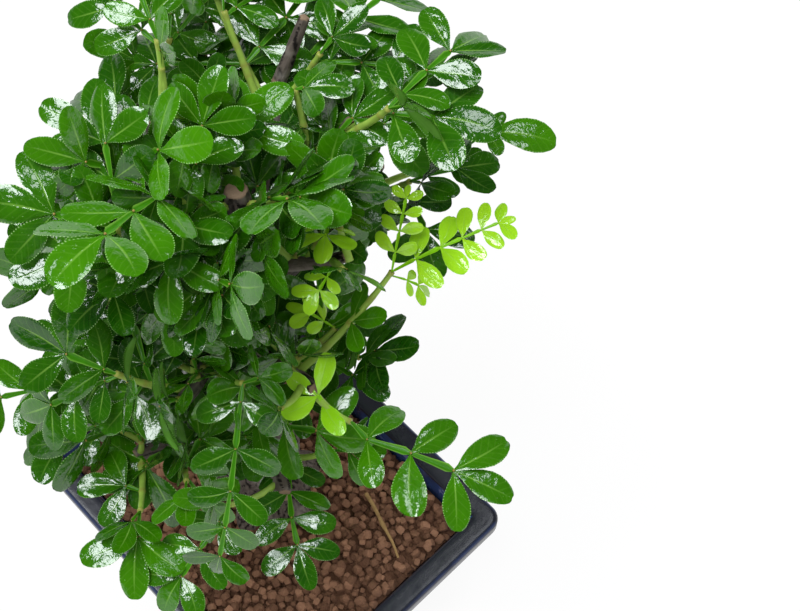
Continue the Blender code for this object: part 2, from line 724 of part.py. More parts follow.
def leaf_out(shoots, solids):
    """Gives each place on each shoot the first leaf that is clear of everything else."""
    stems = {shoot.name: shoot.surface(LEAF_CLEARANCE) for shoot in shoots}
    taken = []
    for shoot in shoots:
        others = [tree for name, tree in stems.items() if name != shoot.name]
        for slot in [None, *shoot.slots]:
            for sign, leaf in shoot.candidates(slot):
                tree = leaf.surface(LEAF_CLEARANCE)
                if not any(tree.overlap(other) for other in solids + others + taken):
                    taken.append(tree)
                    shoot.leaves.append((slot, sign, leaf))
                    break


def main():
    clear_scene()
    solids = [make_pot(), make_soil()]
    for name, side in (("drain_screen_left", -1), ("drain_screen_right", 1)):
        make_screen(name, side * DRAIN_OFFSET)
    make_dry_stalk()
    solids.append(add_object("trunk", trunk_mesh(), "bark"))
    solids += [make_branch(branch) for branch in BRANCHES]
    shoots = plan_shoots()
    leaf_out(shoots, [search_tree(obj) for obj in solids])
    for shoot in shoots:
        add_object(shoot.name, shoot.build(leaves=shoot.leaves), shoot.colour, smooth=False)
    for obj in bpy.data.objects:
        obj.data.transform(Matrix.Translation(STANDING_SHIFT))


main()
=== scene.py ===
"""Dresses a potted pepper tree bonsai: glazed pot, clay granules, barked wood and feathered, glossy leaves.

Metres, +Z up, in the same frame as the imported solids. Heights and lengths in the tables are in
millimetres, measured from the trunk's foot.
"""

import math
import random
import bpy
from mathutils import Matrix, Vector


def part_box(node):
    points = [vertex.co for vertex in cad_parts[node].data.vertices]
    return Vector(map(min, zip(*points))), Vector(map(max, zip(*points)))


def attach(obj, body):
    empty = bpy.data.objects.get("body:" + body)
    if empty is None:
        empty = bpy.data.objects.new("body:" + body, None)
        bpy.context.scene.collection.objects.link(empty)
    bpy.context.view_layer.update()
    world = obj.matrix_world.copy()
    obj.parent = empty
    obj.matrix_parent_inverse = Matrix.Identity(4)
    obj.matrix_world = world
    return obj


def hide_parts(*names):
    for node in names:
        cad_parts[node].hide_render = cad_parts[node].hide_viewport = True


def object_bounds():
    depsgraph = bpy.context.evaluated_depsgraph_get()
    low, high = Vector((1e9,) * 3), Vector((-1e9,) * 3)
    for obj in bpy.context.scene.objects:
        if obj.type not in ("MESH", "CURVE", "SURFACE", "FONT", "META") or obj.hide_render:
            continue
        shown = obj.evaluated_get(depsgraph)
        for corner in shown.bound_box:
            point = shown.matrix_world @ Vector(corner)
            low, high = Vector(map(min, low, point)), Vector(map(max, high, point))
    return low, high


bl_info = {
    "name": "Pepper tree bonsai",
    "version": (1, 0, 0),
    "blender": (4, 5, 0),
    "location": "3D View > Sidebar > Bonsai",
    "description": "Builds the visible surfaces of a potted pepper tree bonsai round its packed solids",
    "category": "Object",
}

import bmesh
import bpy
from bpy.props import FloatProperty, FloatVectorProperty, IntProperty, PointerProperty
from mathutils import Matrix, Quaternion, Vector, noise
from mathutils.kdtree import KDTree

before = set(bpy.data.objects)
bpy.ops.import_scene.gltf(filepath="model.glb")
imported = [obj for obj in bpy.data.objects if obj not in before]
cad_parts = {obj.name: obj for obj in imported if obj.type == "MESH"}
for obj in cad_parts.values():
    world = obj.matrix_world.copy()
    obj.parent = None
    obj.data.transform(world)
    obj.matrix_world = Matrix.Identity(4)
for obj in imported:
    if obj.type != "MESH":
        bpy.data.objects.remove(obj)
CAD_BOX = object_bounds()

MM = 0.001
UP = Vector((0.0, 0.0, 1.0))
BODY = "root"

POT_LOW, POT_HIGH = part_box("pot")
POT_MIDDLE = (POT_LOW + POT_HIGH) / 2
POT_LENGTH, POT_WIDTH, POT_HEIGHT = POT_HIGH - POT_LOW
TREE_FOOT = Vector((POT_MIDDLE.x, POT_MIDDLE.y + 3.5 * MM, 0.0))  # the trunk stands behind the pot's middle

VIEW_DISTANCE = 554  # from the camera to its target
VIEW_TARGET = Vector((-26.5, 76.3, 55)) * MM

# ---------------------------------------------------------------- the tree's plan, as in the part's source
TRUNK_PATH = [  # centre line and radius
    (0, 0, 41, 12.0),
    (0, 0, 50, 13.0),
    (0, 0, 57, 12.2),
    (0, 0, 70, 11.2),
    (6, -2, 86, 10.4),
    (8, 0, 104, 9.8),
    (2, 4, 124, 9.2),
    (-6, 6, 148, 8.2),
    (-9, 8, 174, 7.2),
    (-6, 11, 200, 6.0),
    (-4, 13, 224, 4.6),
    (-5, 14, 244, 3.4),
]
ROOT_COUNT, ROOT_REACH = 5, 11 * MM
ROOT_TOP, ROOT_LEVEL = 70 * MM, 54 * MM  # where the roots start, and where they stand out in full
BRANCH_BASE_SHARE, BRANCH_TIP_SHARE = 0.52, 0.32  # a branch's radius at its ends, in the trunk's
BRANCH_TURN_UP = (-8, 0, 10)  # how much each third of a branch turns up, in degrees
# name, height, compass angle from +X, length, rise, vigour of its shoots
BRANCHES = [
    ("low_front_right", 126, -30, 30, 8, 1.0),
    ("low_front_left", 134, -100, 40, 2, 1.25),
    ("low_left", 130, -168, 40, 10, 1.0),
    ("low_back", 138, 134, 42, 16, 1.0),
    ("low_right", 142, 60, 26, 8, 0.6),
    ("mid_right", 168, -2, 34, 16, 0.9),
    ("mid_front", 176, -64, 34, 14, 1.0),
    ("mid_left", 172, -132, 42, 18, 1.0),
    ("mid_back_left", 182, 164, 44, 22, 1.0),
    ("mid_back_right", 174, 86, 54, 20, 1.0),
    ("top_right", 206, 30, 34, 30, 0.9),
    ("top_front", 214, -84, 26, 34, 1.0),
    ("top_back", 200, 122, 52, 34, 1.0),
    ("top_left", 226, -168, 30, 30, 1.0),
    ("top_back_right", 218, 84, 44, 32, 1.0),
]
# label, place on the branch, turn to the side, climb, length, bend to the side
SHOOTS_ON_BRANCH = [("a", 0.62, 58, 26, 22, 16), ("b", 0.88, -50, 30, 24, -18)]
# name, height, angle, climb, length
SHOOTS_AT_TOP = [
    ("shoot_top_a", 239, 20, 38, 20),
    ("shoot_top_b", 239, 140, 44, 18),
    ("shoot_top_c", 239, -100, 40, 20),
]
# name, branch, place on it, angle, climb, length, bend
STRAY_SHOOTS = [
    ("young_shoot_right", "mid_right", 0.74, 72, 36, 46, 8),
    ("long_shoot_low_right", "mid_right", 0.97, -8, -2, 15, 24),
    ("long_shoot_back_right", "mid_back_right", 0.97, 72, 14, 22, -34),
    ("long_shoot_low_front", "low_front_left", 0.97, -30, 12, 22, -10),
]
SHOOT_ARCH = math.radians(16)
GOLDEN_ANGLE = math.radians(137.5)

# ---------------------------------------------------------------- what stands on the wood besides
# Green shoots that have no solid of their own: name, branch, place on it, angle, climb, length, bend
SMALL_SHOOTS = [
    ("green_shoot_back_left", "top_back", 0.86, 172, 26, 48, -14),
    ("small_shoot_low_front_right", "low_front_right", 0.3, -100, 66, 20, 0),
    ("small_shoot_top_right", "top_right", 0.35, -80, 60, 20, 0),
    ("small_shoot_top_left", "top_left", 0.35, -60, 60, 20, 0),
    ("small_shoot_top_back_left", "top_back", 0.8, 165, 40, 34, 0),
    ("small_shoot_top_left_back", "top_left", 0.8, 140, 46, 34, 0),
    ("small_shoot_back_left", "mid_back_left", 0.85, 140, 46, 44, 0),
    ("small_shoot_low_left", "low_left", 0.45, -60, 60, 24, 0),
]

# Pruned stubs that stand on the branches: branch, place on it, angle, rise, length, radius
STUBS = [
    ("top_back", 0.98, 84, 62, 25, 1.9),
    ("mid_back_right", 0.9, 60, 66, 12, 1.5),
    ("top_front", 0.35, 136, 60, 11, 1.9),
    ("mid_back_left", 0.98, 186, 20, 22, 1.8),
    ("mid_left", 0.9, 150, 66, 12, 1.8),
    ("low_front_left", 0.7, -60, 60, 9, 1.7),
    ("top_left", 0.9, 150, 70, 10, 1.7),
    ("low_back", 0.8, 90, 60, 10, 1.8),
]

# Stubs that no leaf hides, and whether a broad patch round each stays open
OPEN_STUBS = {"top_back": True, "mid_back_right": False, "top_front": False, "mid_back_left": False}

# Leaves with a place of their own, which the crown is known by. Stem, place on it, compass angle, rise,
# pairs of leaflets, size, spacing, stalk, taper, droop, turns at the first pair and at the others, size
# of the end leaflet, freshness
NAMED_LEAVES = [
    ("shoot_top_back_right_a", 1.0, 40, 24, 1, 0.9, 1.0, 0.4, 0.0, 10, (0, 0), 1.0, 0.2),
    ("shoot_top_back_right_a", 0.5, -60, 40, 1, 0.8, 1.0, 0.4, 0.0, 10, (0, 0), 1.0, 0.1),
    ("long_shoot_low_right", 1.0, -4, 0, 3, 1.22, 1.08, 1.1, 0.0, 2, (33, -3), 1.02, 0.45),
    ("long_shoot_back_right", 1.0, 74, 20, 1, 0.6, 1.0, 2.7, 0.0, 14, (-34, 0), 2.3, 0.5),
    ("shoot_mid_front_a", 1.0, -49, -16, 5, 0.98, 1.42, 0.8, 0.06, 8, (-1, -3), 0.95, 0.22),
    ("shoot_low_front_right_a", 0.1, -46, 14, 4, 0.94, 0.95, 0.5, 0.0, 5, (4, 6), 1.0, 0.2),
    ("long_shoot_low_front", 0.1, 10, 50, 1, 1.2, 1.0, 0.7, 0.0, 50, (-50, 0), 1.15, 0.2),
    ("long_shoot_low_front", 1.0, -46, -8, 1, 1.12, 1.0, 1.2, 0.0, 6, (0, 0), 1.1, 0.45),
    ("long_shoot_low_front", 0.6, -150, 10, 1, 1.0, 1.0, 0.8, 0.0, 6, (20, 0), 1.0, 0.3),
    ("shoot_low_right_b", 1.0, 50, 40, 1, 1.0, 1.0, 1.0, 0.0, 6, (-10, 0), 1.0, 0.05),
    ("shoot_low_front_right_b", 0.9, -80, -6, 3, 0.9, 1.1, 1.0, 0.0, 8, (0, 0), 1.0, 0.4),
    ("shoot_top_back_right_b", 0.8, 40, 14, 2, 1.2, 0.85, 0.5, 0.0, 6, (-4, -4), 1.0, 0.25),
    ("shoot_top_back_right_b", 1.0, 96, 6, 3, 1.0, 1.0, 0.8, 0.0, 5, (0, 0), 1.0, 0.2),
    ("shoot_top_back_b", 1.0, 100, 8, 3, 1.0, 1.0, 0.8, 0.0, 5, (-3, -3), 1.0, 0.3),
    ("shoot_mid_back_right_b", 1.0, 66, 4, 2, 0.95, 1.0, 0.8, 0.0, 6, (0, 0), 1.0, 0.15),
    ("green_shoot_back_left", 0.3, 228, 2, 2, 1.05, 1.1, 2.0, 0.0, 4, (0, -8), 0.85, 0.2),
]

# The same for this season's lime-green leaves
YOUNG_LEAVES = [
    ("young_shoot_right", 1.0, 121, 50, 4, 0.58, 1.25, 0.9, 0.16, 4, (0, 0), 0.9, 0.7),
    ("young_shoot_right", 1.0, 62, 28, 5, 0.84, 1.05, 1.2, 0.13, 2, (0, 0), 0.8, 0.55),
    ("young_shoot_right", 0.97, 40, -22, 2, 0.4, 1.0, 0.8, 0.0, 12, (0, 0), 1.0, 0.6),
    ("shoot_top_right_a", 0.7, -50, 34, 2, 0.66, 0.7, 0.9, 0.0, 8, (0, 0), 1.0, 0.5),
    ("shoot_top_right_b", 0.1, -72, 0, 2, 0.48, 0.9, 0.7, 0.0, 8, (0, 0), 1.0, 0.6),
    ("shoot_mid_right_a", 1.0, 205, 30, 2, 0.5, 0.9, 0.6, 0.0, 8, (0, 0), 1.0, 0.6),
    ("long_shoot_low_right", 0.28, 180, 40, 1, 0.86, 1.0, 0.5, 0.0, 28, (16, 0), 0.85, 0.2),
    ("long_shoot_low_right", 0.2, -16, 16, 0, 0.84, 1.0, 0.4, 0.0, 10, (0, 0), 1.0, 0.2),
]

# Ordinary leaves on stems that carry fewer than the rest, because a leaf above shows there instead
SPARSE_STEMS = {
    "long_shoot_low_right": 0,
    "long_shoot_back_right": 2,
    "shoot_low_front_right_a": 1,
    "shoot_low_front_right_b": 1,
    "shoot_low_right_b": 2,
    "shoot_mid_right_b": 3,
    "long_shoot_low_front": 3,
    "green_shoot_back_left": 5,
    "shoot_top_back_right_a": 0,
    "shoot_top_back_a": 3,
}

# Leaves that stand on the wood of a branch, where they aren't as many as on most
FEW_SPURS = {"top_back": 2, "mid_back_left": 3, "top_left": 4, "low_front_right": 2}


# ---------------------------------------------------------------- settings
def linear(hex_colour):
    """The linear values of an sRGB colour such as "#2A5C10"."""
    values = []
    for start in (1, 3, 5):
        value = int(hex_colour[start : start + 2], 16) / 255
        values.append(value / 12.92 if value <= 0.04045 else ((value + 0.055) / 1.055) ** 2.4)
    return tuple(values)


def length_setting(name, description, millimetres):
    return FloatProperty(
        name=name, description=description, default=millimetres * MM, min=0.0, unit="LENGTH", precision=5
    )


def colour_setting(name, description, hex_colour):
    return FloatVectorProperty(
        name=name,
        description=description,
        default=linear(hex_colour),
        size=3,
        min=0.0,
        max=1.0,
        subtype="COLOR",
    )


def angle_setting(name, description, degrees):
    return FloatProperty(name=name, description=description, default=math.radians(degrees), unit="ROTATION")


class PotSettings(bpy.types.PropertyGroup):
    lip_width: length_setting("Lip width", "How broad the flat lip is", 9)
    lip_height: length_setting("Lip height", "How deep the lip's outer face is", 9)
    overhang: length_setting("Overhang", "How far the lip stands out over the wall", 7)
    taper: length_setting("Taper", "How far the wall leans in on its way down", 6)
    rounding: length_setting("Rounding", "Radius of the lip's edges", 1.8)
    corner: length_setting("Corner radius", "Radius of the pot's upright corners", 6)
    foot_height: length_setting("Foot height", "Gap between the table and the pot's floor", 7)
    floor: length_setting("Floor thickness", "Thickness of the pot's floor", 6)
    glaze: colour_setting("Glaze", "Colour of the glaze where it lies thick", "#24252E")
    thin_glaze: colour_setting("Thin glaze", "Colour of the glaze where it runs thin on an edge", "#34508C")
    # pale lavender of the thinnest glaze: partly pale clay showing through, partly a painted reflection of
    # the white floor
    pale_edge_and_reflection: colour_setting("Edge glaze", "Colour of the thinnest glaze, over pale clay", "#9C9CC0")


class BedSettings(bpy.types.PropertyGroup):
    granule: length_setting("Granule", "Mean width of one clay granule", 3.5)
    edge: length_setting("Height at the wall", "Height of the granules along the pot's wall", 47.5)
    crown: length_setting("Height inside", "Height of the granules round the trunk", 50.5)
    slope: length_setting("Slope", "Distance in from the wall over which the granules rise", 28)
    pale: colour_setting("Pale clay", "Colour of a dry granule", "#A2785E")
    # the dark clay also paints the shade under and between the granules
    dark: colour_setting("Dark clay", "Colour of a damp granule", "#513627")
    seed: IntProperty(name="Seed", description="Changes how the granules fall", default=3, min=0)


class WoodSettings(bpy.types.PropertyGroup):
    skin: length_setting("Skin detail", "Size of the mesh that the bark is carved in", 0.75)
    fissure: length_setting("Fissure depth", "Depth of the cracks in the trunk's bark", 0.7)
    bark: colour_setting("Bark", "Colour of the bark's ridges", "#665C54")
    crack: colour_setting("Crack", "Colour in the bark's cracks", "#1E1815")
    cut: colour_setting("Cut wood", "Colour of a pruned end", "#7E6A56")


class LeafSettings(bpy.types.PropertyGroup):
    length: length_setting("Leaflet length", "Length of a full leaflet", 16)
    wing: length_setting("Wing width", "Width of the winged midrib between two pairs", 2.3)
    spacing: length_setting("Pair spacing", "Distance from one pair of leaflets to the next", 10.5)
    stalk: length_setting("Stalk", "Bare midrib below the first pair", 7)
    blade: colour_setting("Blade", "Colour of an older leaflet", "#134202")
    fresh_blade: colour_setting("Fresh blade", "Colour of a fresh green leaflet", "#428402")
    # paler lower face: partly the leaflet's own colour, partly painted light shining through it
    underside_and_light_through: colour_setting("Underside", "Colour of a leaflet from below", "#5F9438")
    rib: colour_setting("Rib", "Colour of the lines and glands in a leaflet", "#90BE50")
    wing_colour: colour_setting("Midrib", "Colour of the winged midribs", "#347204")
    young: colour_setting("Young blade", "Colour of a new leaflet", "#7CBC12")
    young_fresh: colour_setting("Unfolding blade", "Colour of the newest leaflets", "#A6D828")
    stem: colour_setting("Stem", "Colour of a green stem", "#8EAE48")
    node: colour_setting("Node", "Colour of the joints on stems and midribs", "#8C7A3E")


class StageSettings(bpy.types.PropertyGroup):
    azimuth: angle_setting("Azimuth", "Camera's compass angle", 46.1)
    elevation: angle_setting("Elevation", "Camera's height angle", 62)
    distance: length_setting("Distance", "Distance from the camera to its target", VIEW_DISTANCE)
    lens: FloatProperty(name="Lens", description="Focal length in millimetres", default=58.5, min=1.0)
    target: FloatVectorProperty(
        name="Target", description="Point that the camera looks at", default=VIEW_TARGET[:], unit="LENGTH"
    )


# ---------------------------------------------------------------- helpers
def node(tree, kind, inputs=None, **settings):
    """Adds a shader node. Inputs are values or the sockets of other nodes."""
    made = tree.nodes.new(kind)
    for key, value in settings.items():
        setattr(made, key, value)
    for key, value in (inputs or {}).items():
        if isinstance(value, bpy.types.NodeSocket):
            tree.links.new(value, made.inputs[key])
        else:
            made.inputs[key].default_value = value
    return made


def new_material(name):
    """A material with an empty tree, and that tree's Principled shader."""
    made = bpy.data.materials.new(name)
    made.use_nodes = True
    return made, made.node_tree, made.node_tree.nodes["Principled BSDF"]


def rgba(colour):
    return (*colour, 1.0)


def per_metre(millimetres):
    """The scale of a pattern whose features are this far apart: 100 / 17 for 17 of them in 100 mm."""
    return 1 / (millimetres * MM)


def seen_rays(tree):
    """1 where the camera sees a thing, also in a gloss or through glass; 0 for the light that it gives."""
    rays = node(tree, "ShaderNodeLightPath").outputs
    seen = rays["Is Camera Ray"]
    for kind in ("Is Glossy Ray", "Is Transmission Ray"):
        seen = node(tree, "ShaderNodeMath", {0: seen, 1: rays[kind]}, operation="MAXIMUM").outputs[0]
    return seen


def add_piece(name, bm, materials, replaced=(), sharp=40):
    """Makes an object of the mesh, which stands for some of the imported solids."""
    mesh = bpy.data.meshes.new(name)
    bm.to_mesh(mesh)
    bm.free()
    for made in materials:
        mesh.materials.append(made)
    mesh.shade_smooth()
    if sharp:
        mesh.set_sharp_from_angle(angle=math.radians(sharp))
    piece = bpy.data.objects.new(name, mesh)
    bpy.context.scene.collection.objects.link(piece)
    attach(piece, BODY)
    if replaced:
        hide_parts(*replaced)
    return piece


def evaluated_mesh(obj):
    """A new mesh of an object with its modifiers applied."""
    bpy.context.view_layer.update()
    graph = bpy.context.evaluated_depsgraph_get()
    return bpy.data.meshes.new_from_object(obj.evaluated_get(graph))


def scratch_object(name, bm):
    """An object that only serves to shape another and is removed again."""
    mesh = bpy.data.meshes.new(name)
    bm.to_mesh(mesh)
    bm.free()
    obj = bpy.data.objects.new(name, mesh)
    bpy.context.scene.collection.objects.link(obj)
    return obj


def direction(angle, rise):
    """The unit vector at a compass angle from +X and a rise over level, both in degrees."""
    a, r = math.radians(angle), math.radians(rise)
    return Vector((math.cos(a) * math.cos(r), math.sin(a) * math.cos(r), math.sin(r)))


def grow_rings(bm, rings):
    """A closed surface from the first ring of points through the others to the last."""
    first = [bm.verts.new(point) for point in rings[0]]
    face = bm.faces.new(first)
    for ring in rings[1:]:
        face = bmesh.ops.extrude_discrete_faces(bm, faces=[face])["faces"][0]
        for vert, point in zip(face.verts, ring):
            vert.co = point
    bm.faces.new(first[::-1])


def smooth_path(points, steps):
    """Points on a curve through the given ones, with this many stretches between each two."""
    found = []
    last = len(points) - 1
    for i in range(last):
        before, here, there, after = (points[min(max(i + k, 0), last)] for k in (-1, 0, 1, 2))
        for step in range(steps):
            t = step / steps
            bend = (2 * before - 5 * here + 4 * there - after) * t**2
            turn = (3 * here - before - 3 * there + after) * t**3
            found.append(0.5 * (2 * here + (there - before) * t + bend + turn))
    return [*found, points[last]]


def tube_rings(path, radii, sides, swell=None):
    """Rings of points square to a path; swell() gives what to add to the radius at a point and an angle."""
    rings = []
    turned = None
    for i, (point, radius) in enumerate(zip(path, radii)):
        tangent = (path[min(i + 1, len(path) - 1)] - path[max(i - 1, 0)]).normalized()
        if turned is None:
            turned = Matrix.Identity(3)
            turned.rotate(UP.rotation_difference(tangent))
        else:
            turned.rotate(before.rotation_difference(tangent))
        before = tangent
        ring = []
        for side in range(sides):
            angle = 2 * math.pi * side / sides
            reach = radius + (swell(point, angle) if swell else 0.0)
            ring.append(point + turned @ Vector((math.cos(angle), math.sin(angle), 0)) * reach)
        rings.append(ring)
    return rings


# ---------------------------------------------------------------- pot
def glazed_stoneware(settings):
    """Stoneware under a poured glaze: black-blue where it pools, cobalt where it breaks over an edge or lies
    thin inside, pale lavender where it is thinnest, partly pale clay showing through and partly a painted
    reflection of the white floor, wet gloss, and the faint dimples of a hand-dipped pot."""
    made, tree, shader = new_material("glazed_stoneware")
    place = node(tree, "ShaderNodeTexCoord").outputs["Object"]
    thin = node(tree, "ShaderNodeAttribute", attribute_name="thin").outputs["Fac"]
    cloud = node(tree, "ShaderNodeTexNoise", {"Vector": place, "Scale": per_metre(100 / 9), "Detail": 3.0})
    breaking = node(
        tree,
        "ShaderNodeMath",
        {0: thin, 1: cloud.outputs["Fac"], 2: -0.12},
        operation="MULTIPLY_ADD",
        use_clamp=True,
    )
    pooled = node(tree, "ShaderNodeMapRange", {"Value": breaking.outputs[0], "From Max": 0.6})
    colour = node(
        tree,
        "ShaderNodeMix",
        {0: pooled.outputs[0], 6: rgba(settings.glaze), 7: rgba(settings.thin_glaze)},
        data_type="RGBA",
    )
    # pale lavender where the glaze is thinnest: partly clay showing through, partly a painted reflection of
    # the white floor
    pale_glaze_and_reflection = node(
        tree,
        "ShaderNodeMapRange",
        {"Value": breaking.outputs[0], "From Min": 0.42, "From Max": 0.6, "To Max": 0.8},
    )
    colour = node(
        tree,
        "ShaderNodeMix",
        {0: pale_glaze_and_reflection.outputs[0], 6: colour.outputs[2], 7: rgba(settings.pale_edge_and_reflection)},
        data_type="RGBA",
    )
    dimples = node(tree, "ShaderNodeTexNoise", {"Vector": place, "Scale": per_metre(50 / 13), "Detail": 2.0})
    bump = node(
        tree, "ShaderNodeBump", {"Height": dimples.outputs["Fac"], "Strength": 0.25, "Distance": 0.4 * MM}
    )
    gloss = node(tree, "ShaderNodeMapRange", {"Value": cloud.outputs["Fac"], "To Min": 0.18, "To Max": 0.34})
    tree.links.new(colour.outputs[2], shader.inputs["Base Color"])
    tree.links.new(gloss.outputs[0], shader.inputs["Roughness"])
    tree.links.new(bump.outputs[0], shader.inputs["Normal"])
    shader.inputs["IOR"].default_value = 1.52
    shader.inputs["Specular IOR Level"].default_value = 0.35
    return made


class BONSAI_OT_pot(bpy.types.Operator):
    """Throws the glazed pot with its lip, four feet and two drain holes"""

    bl_idname = "bonsai.pot"
    bl_label = "Glazed pot"

    arc_steps = 5
    corner_steps = 8
    least_corner = 3 * MM  # radius of the upright corners on the inside of the wall
    foot_size = Vector((22, 16, 0)) * MM
    foot_inset = 3 * MM
    foot_taper = 0.86  # a foot's width on the table, in its width at the floor
    foot_corner, foot_edge = 2.5 * MM, 0.8 * MM
    drain_radius, drain_offset = 7 * MM, 34 * MM

    def outline(self, settings, inset, height):
        """A level ring inside the lip's outer edge: a rectangle with round corners."""
        radius = max(settings.corner - inset / 2, self.least_corner)
        points = []
        for quarter, (sx, sy) in enumerate(((1, 1), (-1, 1), (-1, -1), (1, -1))):
            x = POT_MIDDLE.x + sx * (POT_LENGTH / 2 - inset - radius)
            y = POT_MIDDLE.y + sy * (POT_WIDTH / 2 - inset - radius)
            for step in range(self.corner_steps + 1):
                angle = math.pi / 2 * (quarter + step / self.corner_steps)
                points.append(Vector((x + math.cos(angle) * radius, y + math.sin(angle) * radius, height)))
        return points

    def arc(self, inset, height, radius, start, end):
        """Points of the wall's section on an arc about (inset, height), between two angles in degrees."""
        points = []
        for step in range(self.arc_steps + 1):
            angle = math.radians(start + (end - start) * step / self.arc_steps)
            points.append((inset + math.cos(angle) * radius, height + math.sin(angle) * radius))
        return points

    def section(self, settings):
        """The wall's section from the underside, up the outside, over the lip and down the inside."""
        r = settings.rounding
        floor_top = settings.foot_height + settings.floor
        under_lip = POT_HEIGHT - settings.lip_height
        foot_of_wall = settings.overhang + settings.taper
        inner_floor = settings.lip_width + settings.taper
        points = [(foot_of_wall + 4 * MM, settings.foot_height)]
        points += self.arc(foot_of_wall + r, settings.foot_height + r, r, 270, 180)
        points += self.arc(settings.overhang - r, under_lip - r, r, 0, 90)
        points += self.arc(r, under_lip + r, r, 270, 180)
        points += self.arc(r, POT_HEIGHT - r, r, 180, 90)
        points += [(1.8 * r, POT_HEIGHT), (settings.lip_width - 1.8 * r, POT_HEIGHT)]
        points += self.arc(settings.lip_width - r, POT_HEIGHT - r, r, 90, 0)
        points += [(settings.lip_width + 0.4 * MM, POT_HEIGHT - 2.4 * r)]
        points += self.arc(inner_floor + r, floor_top + r, r, 180, 270)
        return points

    def foot(self, settings, x, y):
        """A tapered foot with round corners, at a place from the pot's middle."""
        bm = bmesh.new()
        bmesh.ops.create_cube(bm, size=1)
        height = settings.foot_height + settings.floor / 2
        bmesh.ops.scale(bm, vec=(self.foot_size.x, self.foot_size.y, height), verts=bm.verts)
        for vert in bm.verts:
            if vert.co.z < 0:
                vert.co.x *= self.foot_taper
                vert.co.y *= self.foot_taper
        bmesh.ops.translate(bm, vec=(POT_MIDDLE.x + x, POT_MIDDLE.y + y, height / 2), verts=bm.verts)
        upright = [e for e in bm.edges if abs(e.verts[0].co.z - e.verts[1].co.z) > height / 2]
        bmesh.ops.bevel(
            bm, geom=upright, offset=self.foot_corner, segments=4, affect="EDGES", profile=0.5, material=-1
        )
        lower = [e for e in bm.edges if max(v.co.z for v in e.verts) < 1 * MM]
        bmesh.ops.bevel(
            bm, geom=lower, offset=self.foot_edge, segments=2, affect="EDGES", profile=0.5, material=-1
        )
        return scratch_object("foot", bm)

    def drain(self, settings, x):
        """The round bar that cuts a drain hole through the floor."""
        bm = bmesh.new()
        middle = Vector((POT_MIDDLE.x + x, POT_MIDDLE.y, settings.foot_height + settings.floor / 2))
        bmesh.ops.create_cone(
            bm,
            cap_ends=True,
            segments=32,
            radius1=self.drain_radius,
            radius2=self.drain_radius,
            depth=3 * settings.floor,
            matrix=Matrix.Translation(middle),
        )
        return scratch_object("drain", bm)

    def execute(self, context):
        settings = context.scene.bonsai_pot
        bm = bmesh.new()
        grow_rings(bm, [self.outline(settings, *point) for point in self.section(settings)])
        bmesh.ops.recalc_face_normals(bm, faces=bm.faces)
        body = scratch_object("pot_body", bm)
        wall_foot = settings.overhang + settings.taper + self.foot_inset
        foot_x = POT_LENGTH / 2 - wall_foot - self.foot_size.x / 2
        foot_y = POT_WIDTH / 2 - wall_foot - self.foot_size.y / 2
        tools = []
        for sx in (-1, 1):
            tools += [(self.foot(settings, sx * foot_x, sy * foot_y), "UNION") for sy in (-1, 1)]
            tools.append((self.drain(settings, sx * self.drain_offset), "DIFFERENCE"))
        for tool, operation in tools:
            modifier = body.modifiers.new(operation, "BOOLEAN")
            modifier.operation = operation
            modifier.object = tool
        shaped = evaluated_mesh(body)
        for obj in [body, *(tool for tool, _ in tools)]:
            bpy.data.objects.remove(obj)
        bm = bmesh.new()
        bm.from_mesh(shaped)
        self.mark_thin_glaze(bm, settings)
        add_piece("glazed_pot", bm, [glazed_stoneware(settings)], ["pot"], sharp=35)
        return {"FINISHED"}

    def mark_thin_glaze(self, bm, settings):
        """Marks how thin the glaze is: all over the wall's inside, and close to the lip's outer edges."""
        thin = bm.verts.layers.float.new("thin")
        edges = (POT_HEIGHT, POT_HEIGHT - settings.lip_height)
        for vert in bm.verts:
            x = POT_LENGTH / 2 - abs(vert.co.x - POT_MIDDLE.x)
            y = POT_WIDTH / 2 - abs(vert.co.y - POT_MIDDLE.y)
            inset = min(x, y)
            nearest = min(math.hypot(inset, vert.co.z - height) for height in edges)
            inside = inset > settings.lip_width and vert.co.z > POT_HEIGHT / 2
            vert[thin] = max(1.0 if inside else 0.0, 0.8 - nearest / (1.6 * settings.rounding))


# ---------------------------------------------------------------- granules, screens and stalk
def baked_clay(settings):
    """Low-fired clay granules: dead matt and porous, each a slightly different red-brown, paler where dry,
    and darker deeper in the bed as painted shade in the gaps between them.
    Its pores are drawn coarser than they are, so that they show."""
    made, tree, shader = new_material("baked_clay")
    place = node(tree, "ShaderNodeTexCoord").outputs["Object"]
    tint = node(tree, "ShaderNodeAttribute", attribute_name="tint").outputs["Fac"]
    grain = node(tree, "ShaderNodeTexNoise", {"Vector": place, "Scale": per_metre(5 / 7), "Detail": 4.0})
    mixed = node(
        tree, "ShaderNodeMath", {0: grain.outputs["Fac"], 1: 0.45, 2: tint}, operation="MULTIPLY_ADD"
    )
    share = node(
        tree, "ShaderNodeMapRange", {"Value": mixed.outputs[0], "From Min": 0.1, "From Max": 1.15}
    )
    colour = node(
        tree,
        "ShaderNodeMix",
        {0: share.outputs[0], 6: rgba(settings.dark), 7: rgba(settings.pale)},
        data_type="RGBA",
    )
    bump = node(
        tree, "ShaderNodeBump", {"Height": grain.outputs["Fac"], "Strength": 0.7, "Distance": 0.4 * MM}
    )
    tree.links.new(colour.outputs[2], shader.inputs["Base Color"])
    tree.links.new(bump.outputs[0], shader.inputs["Normal"])
    shader.inputs["Roughness"].default_value = 0.95
    shader.inputs["Specular IOR Level"].default_value = 0.2
    return made


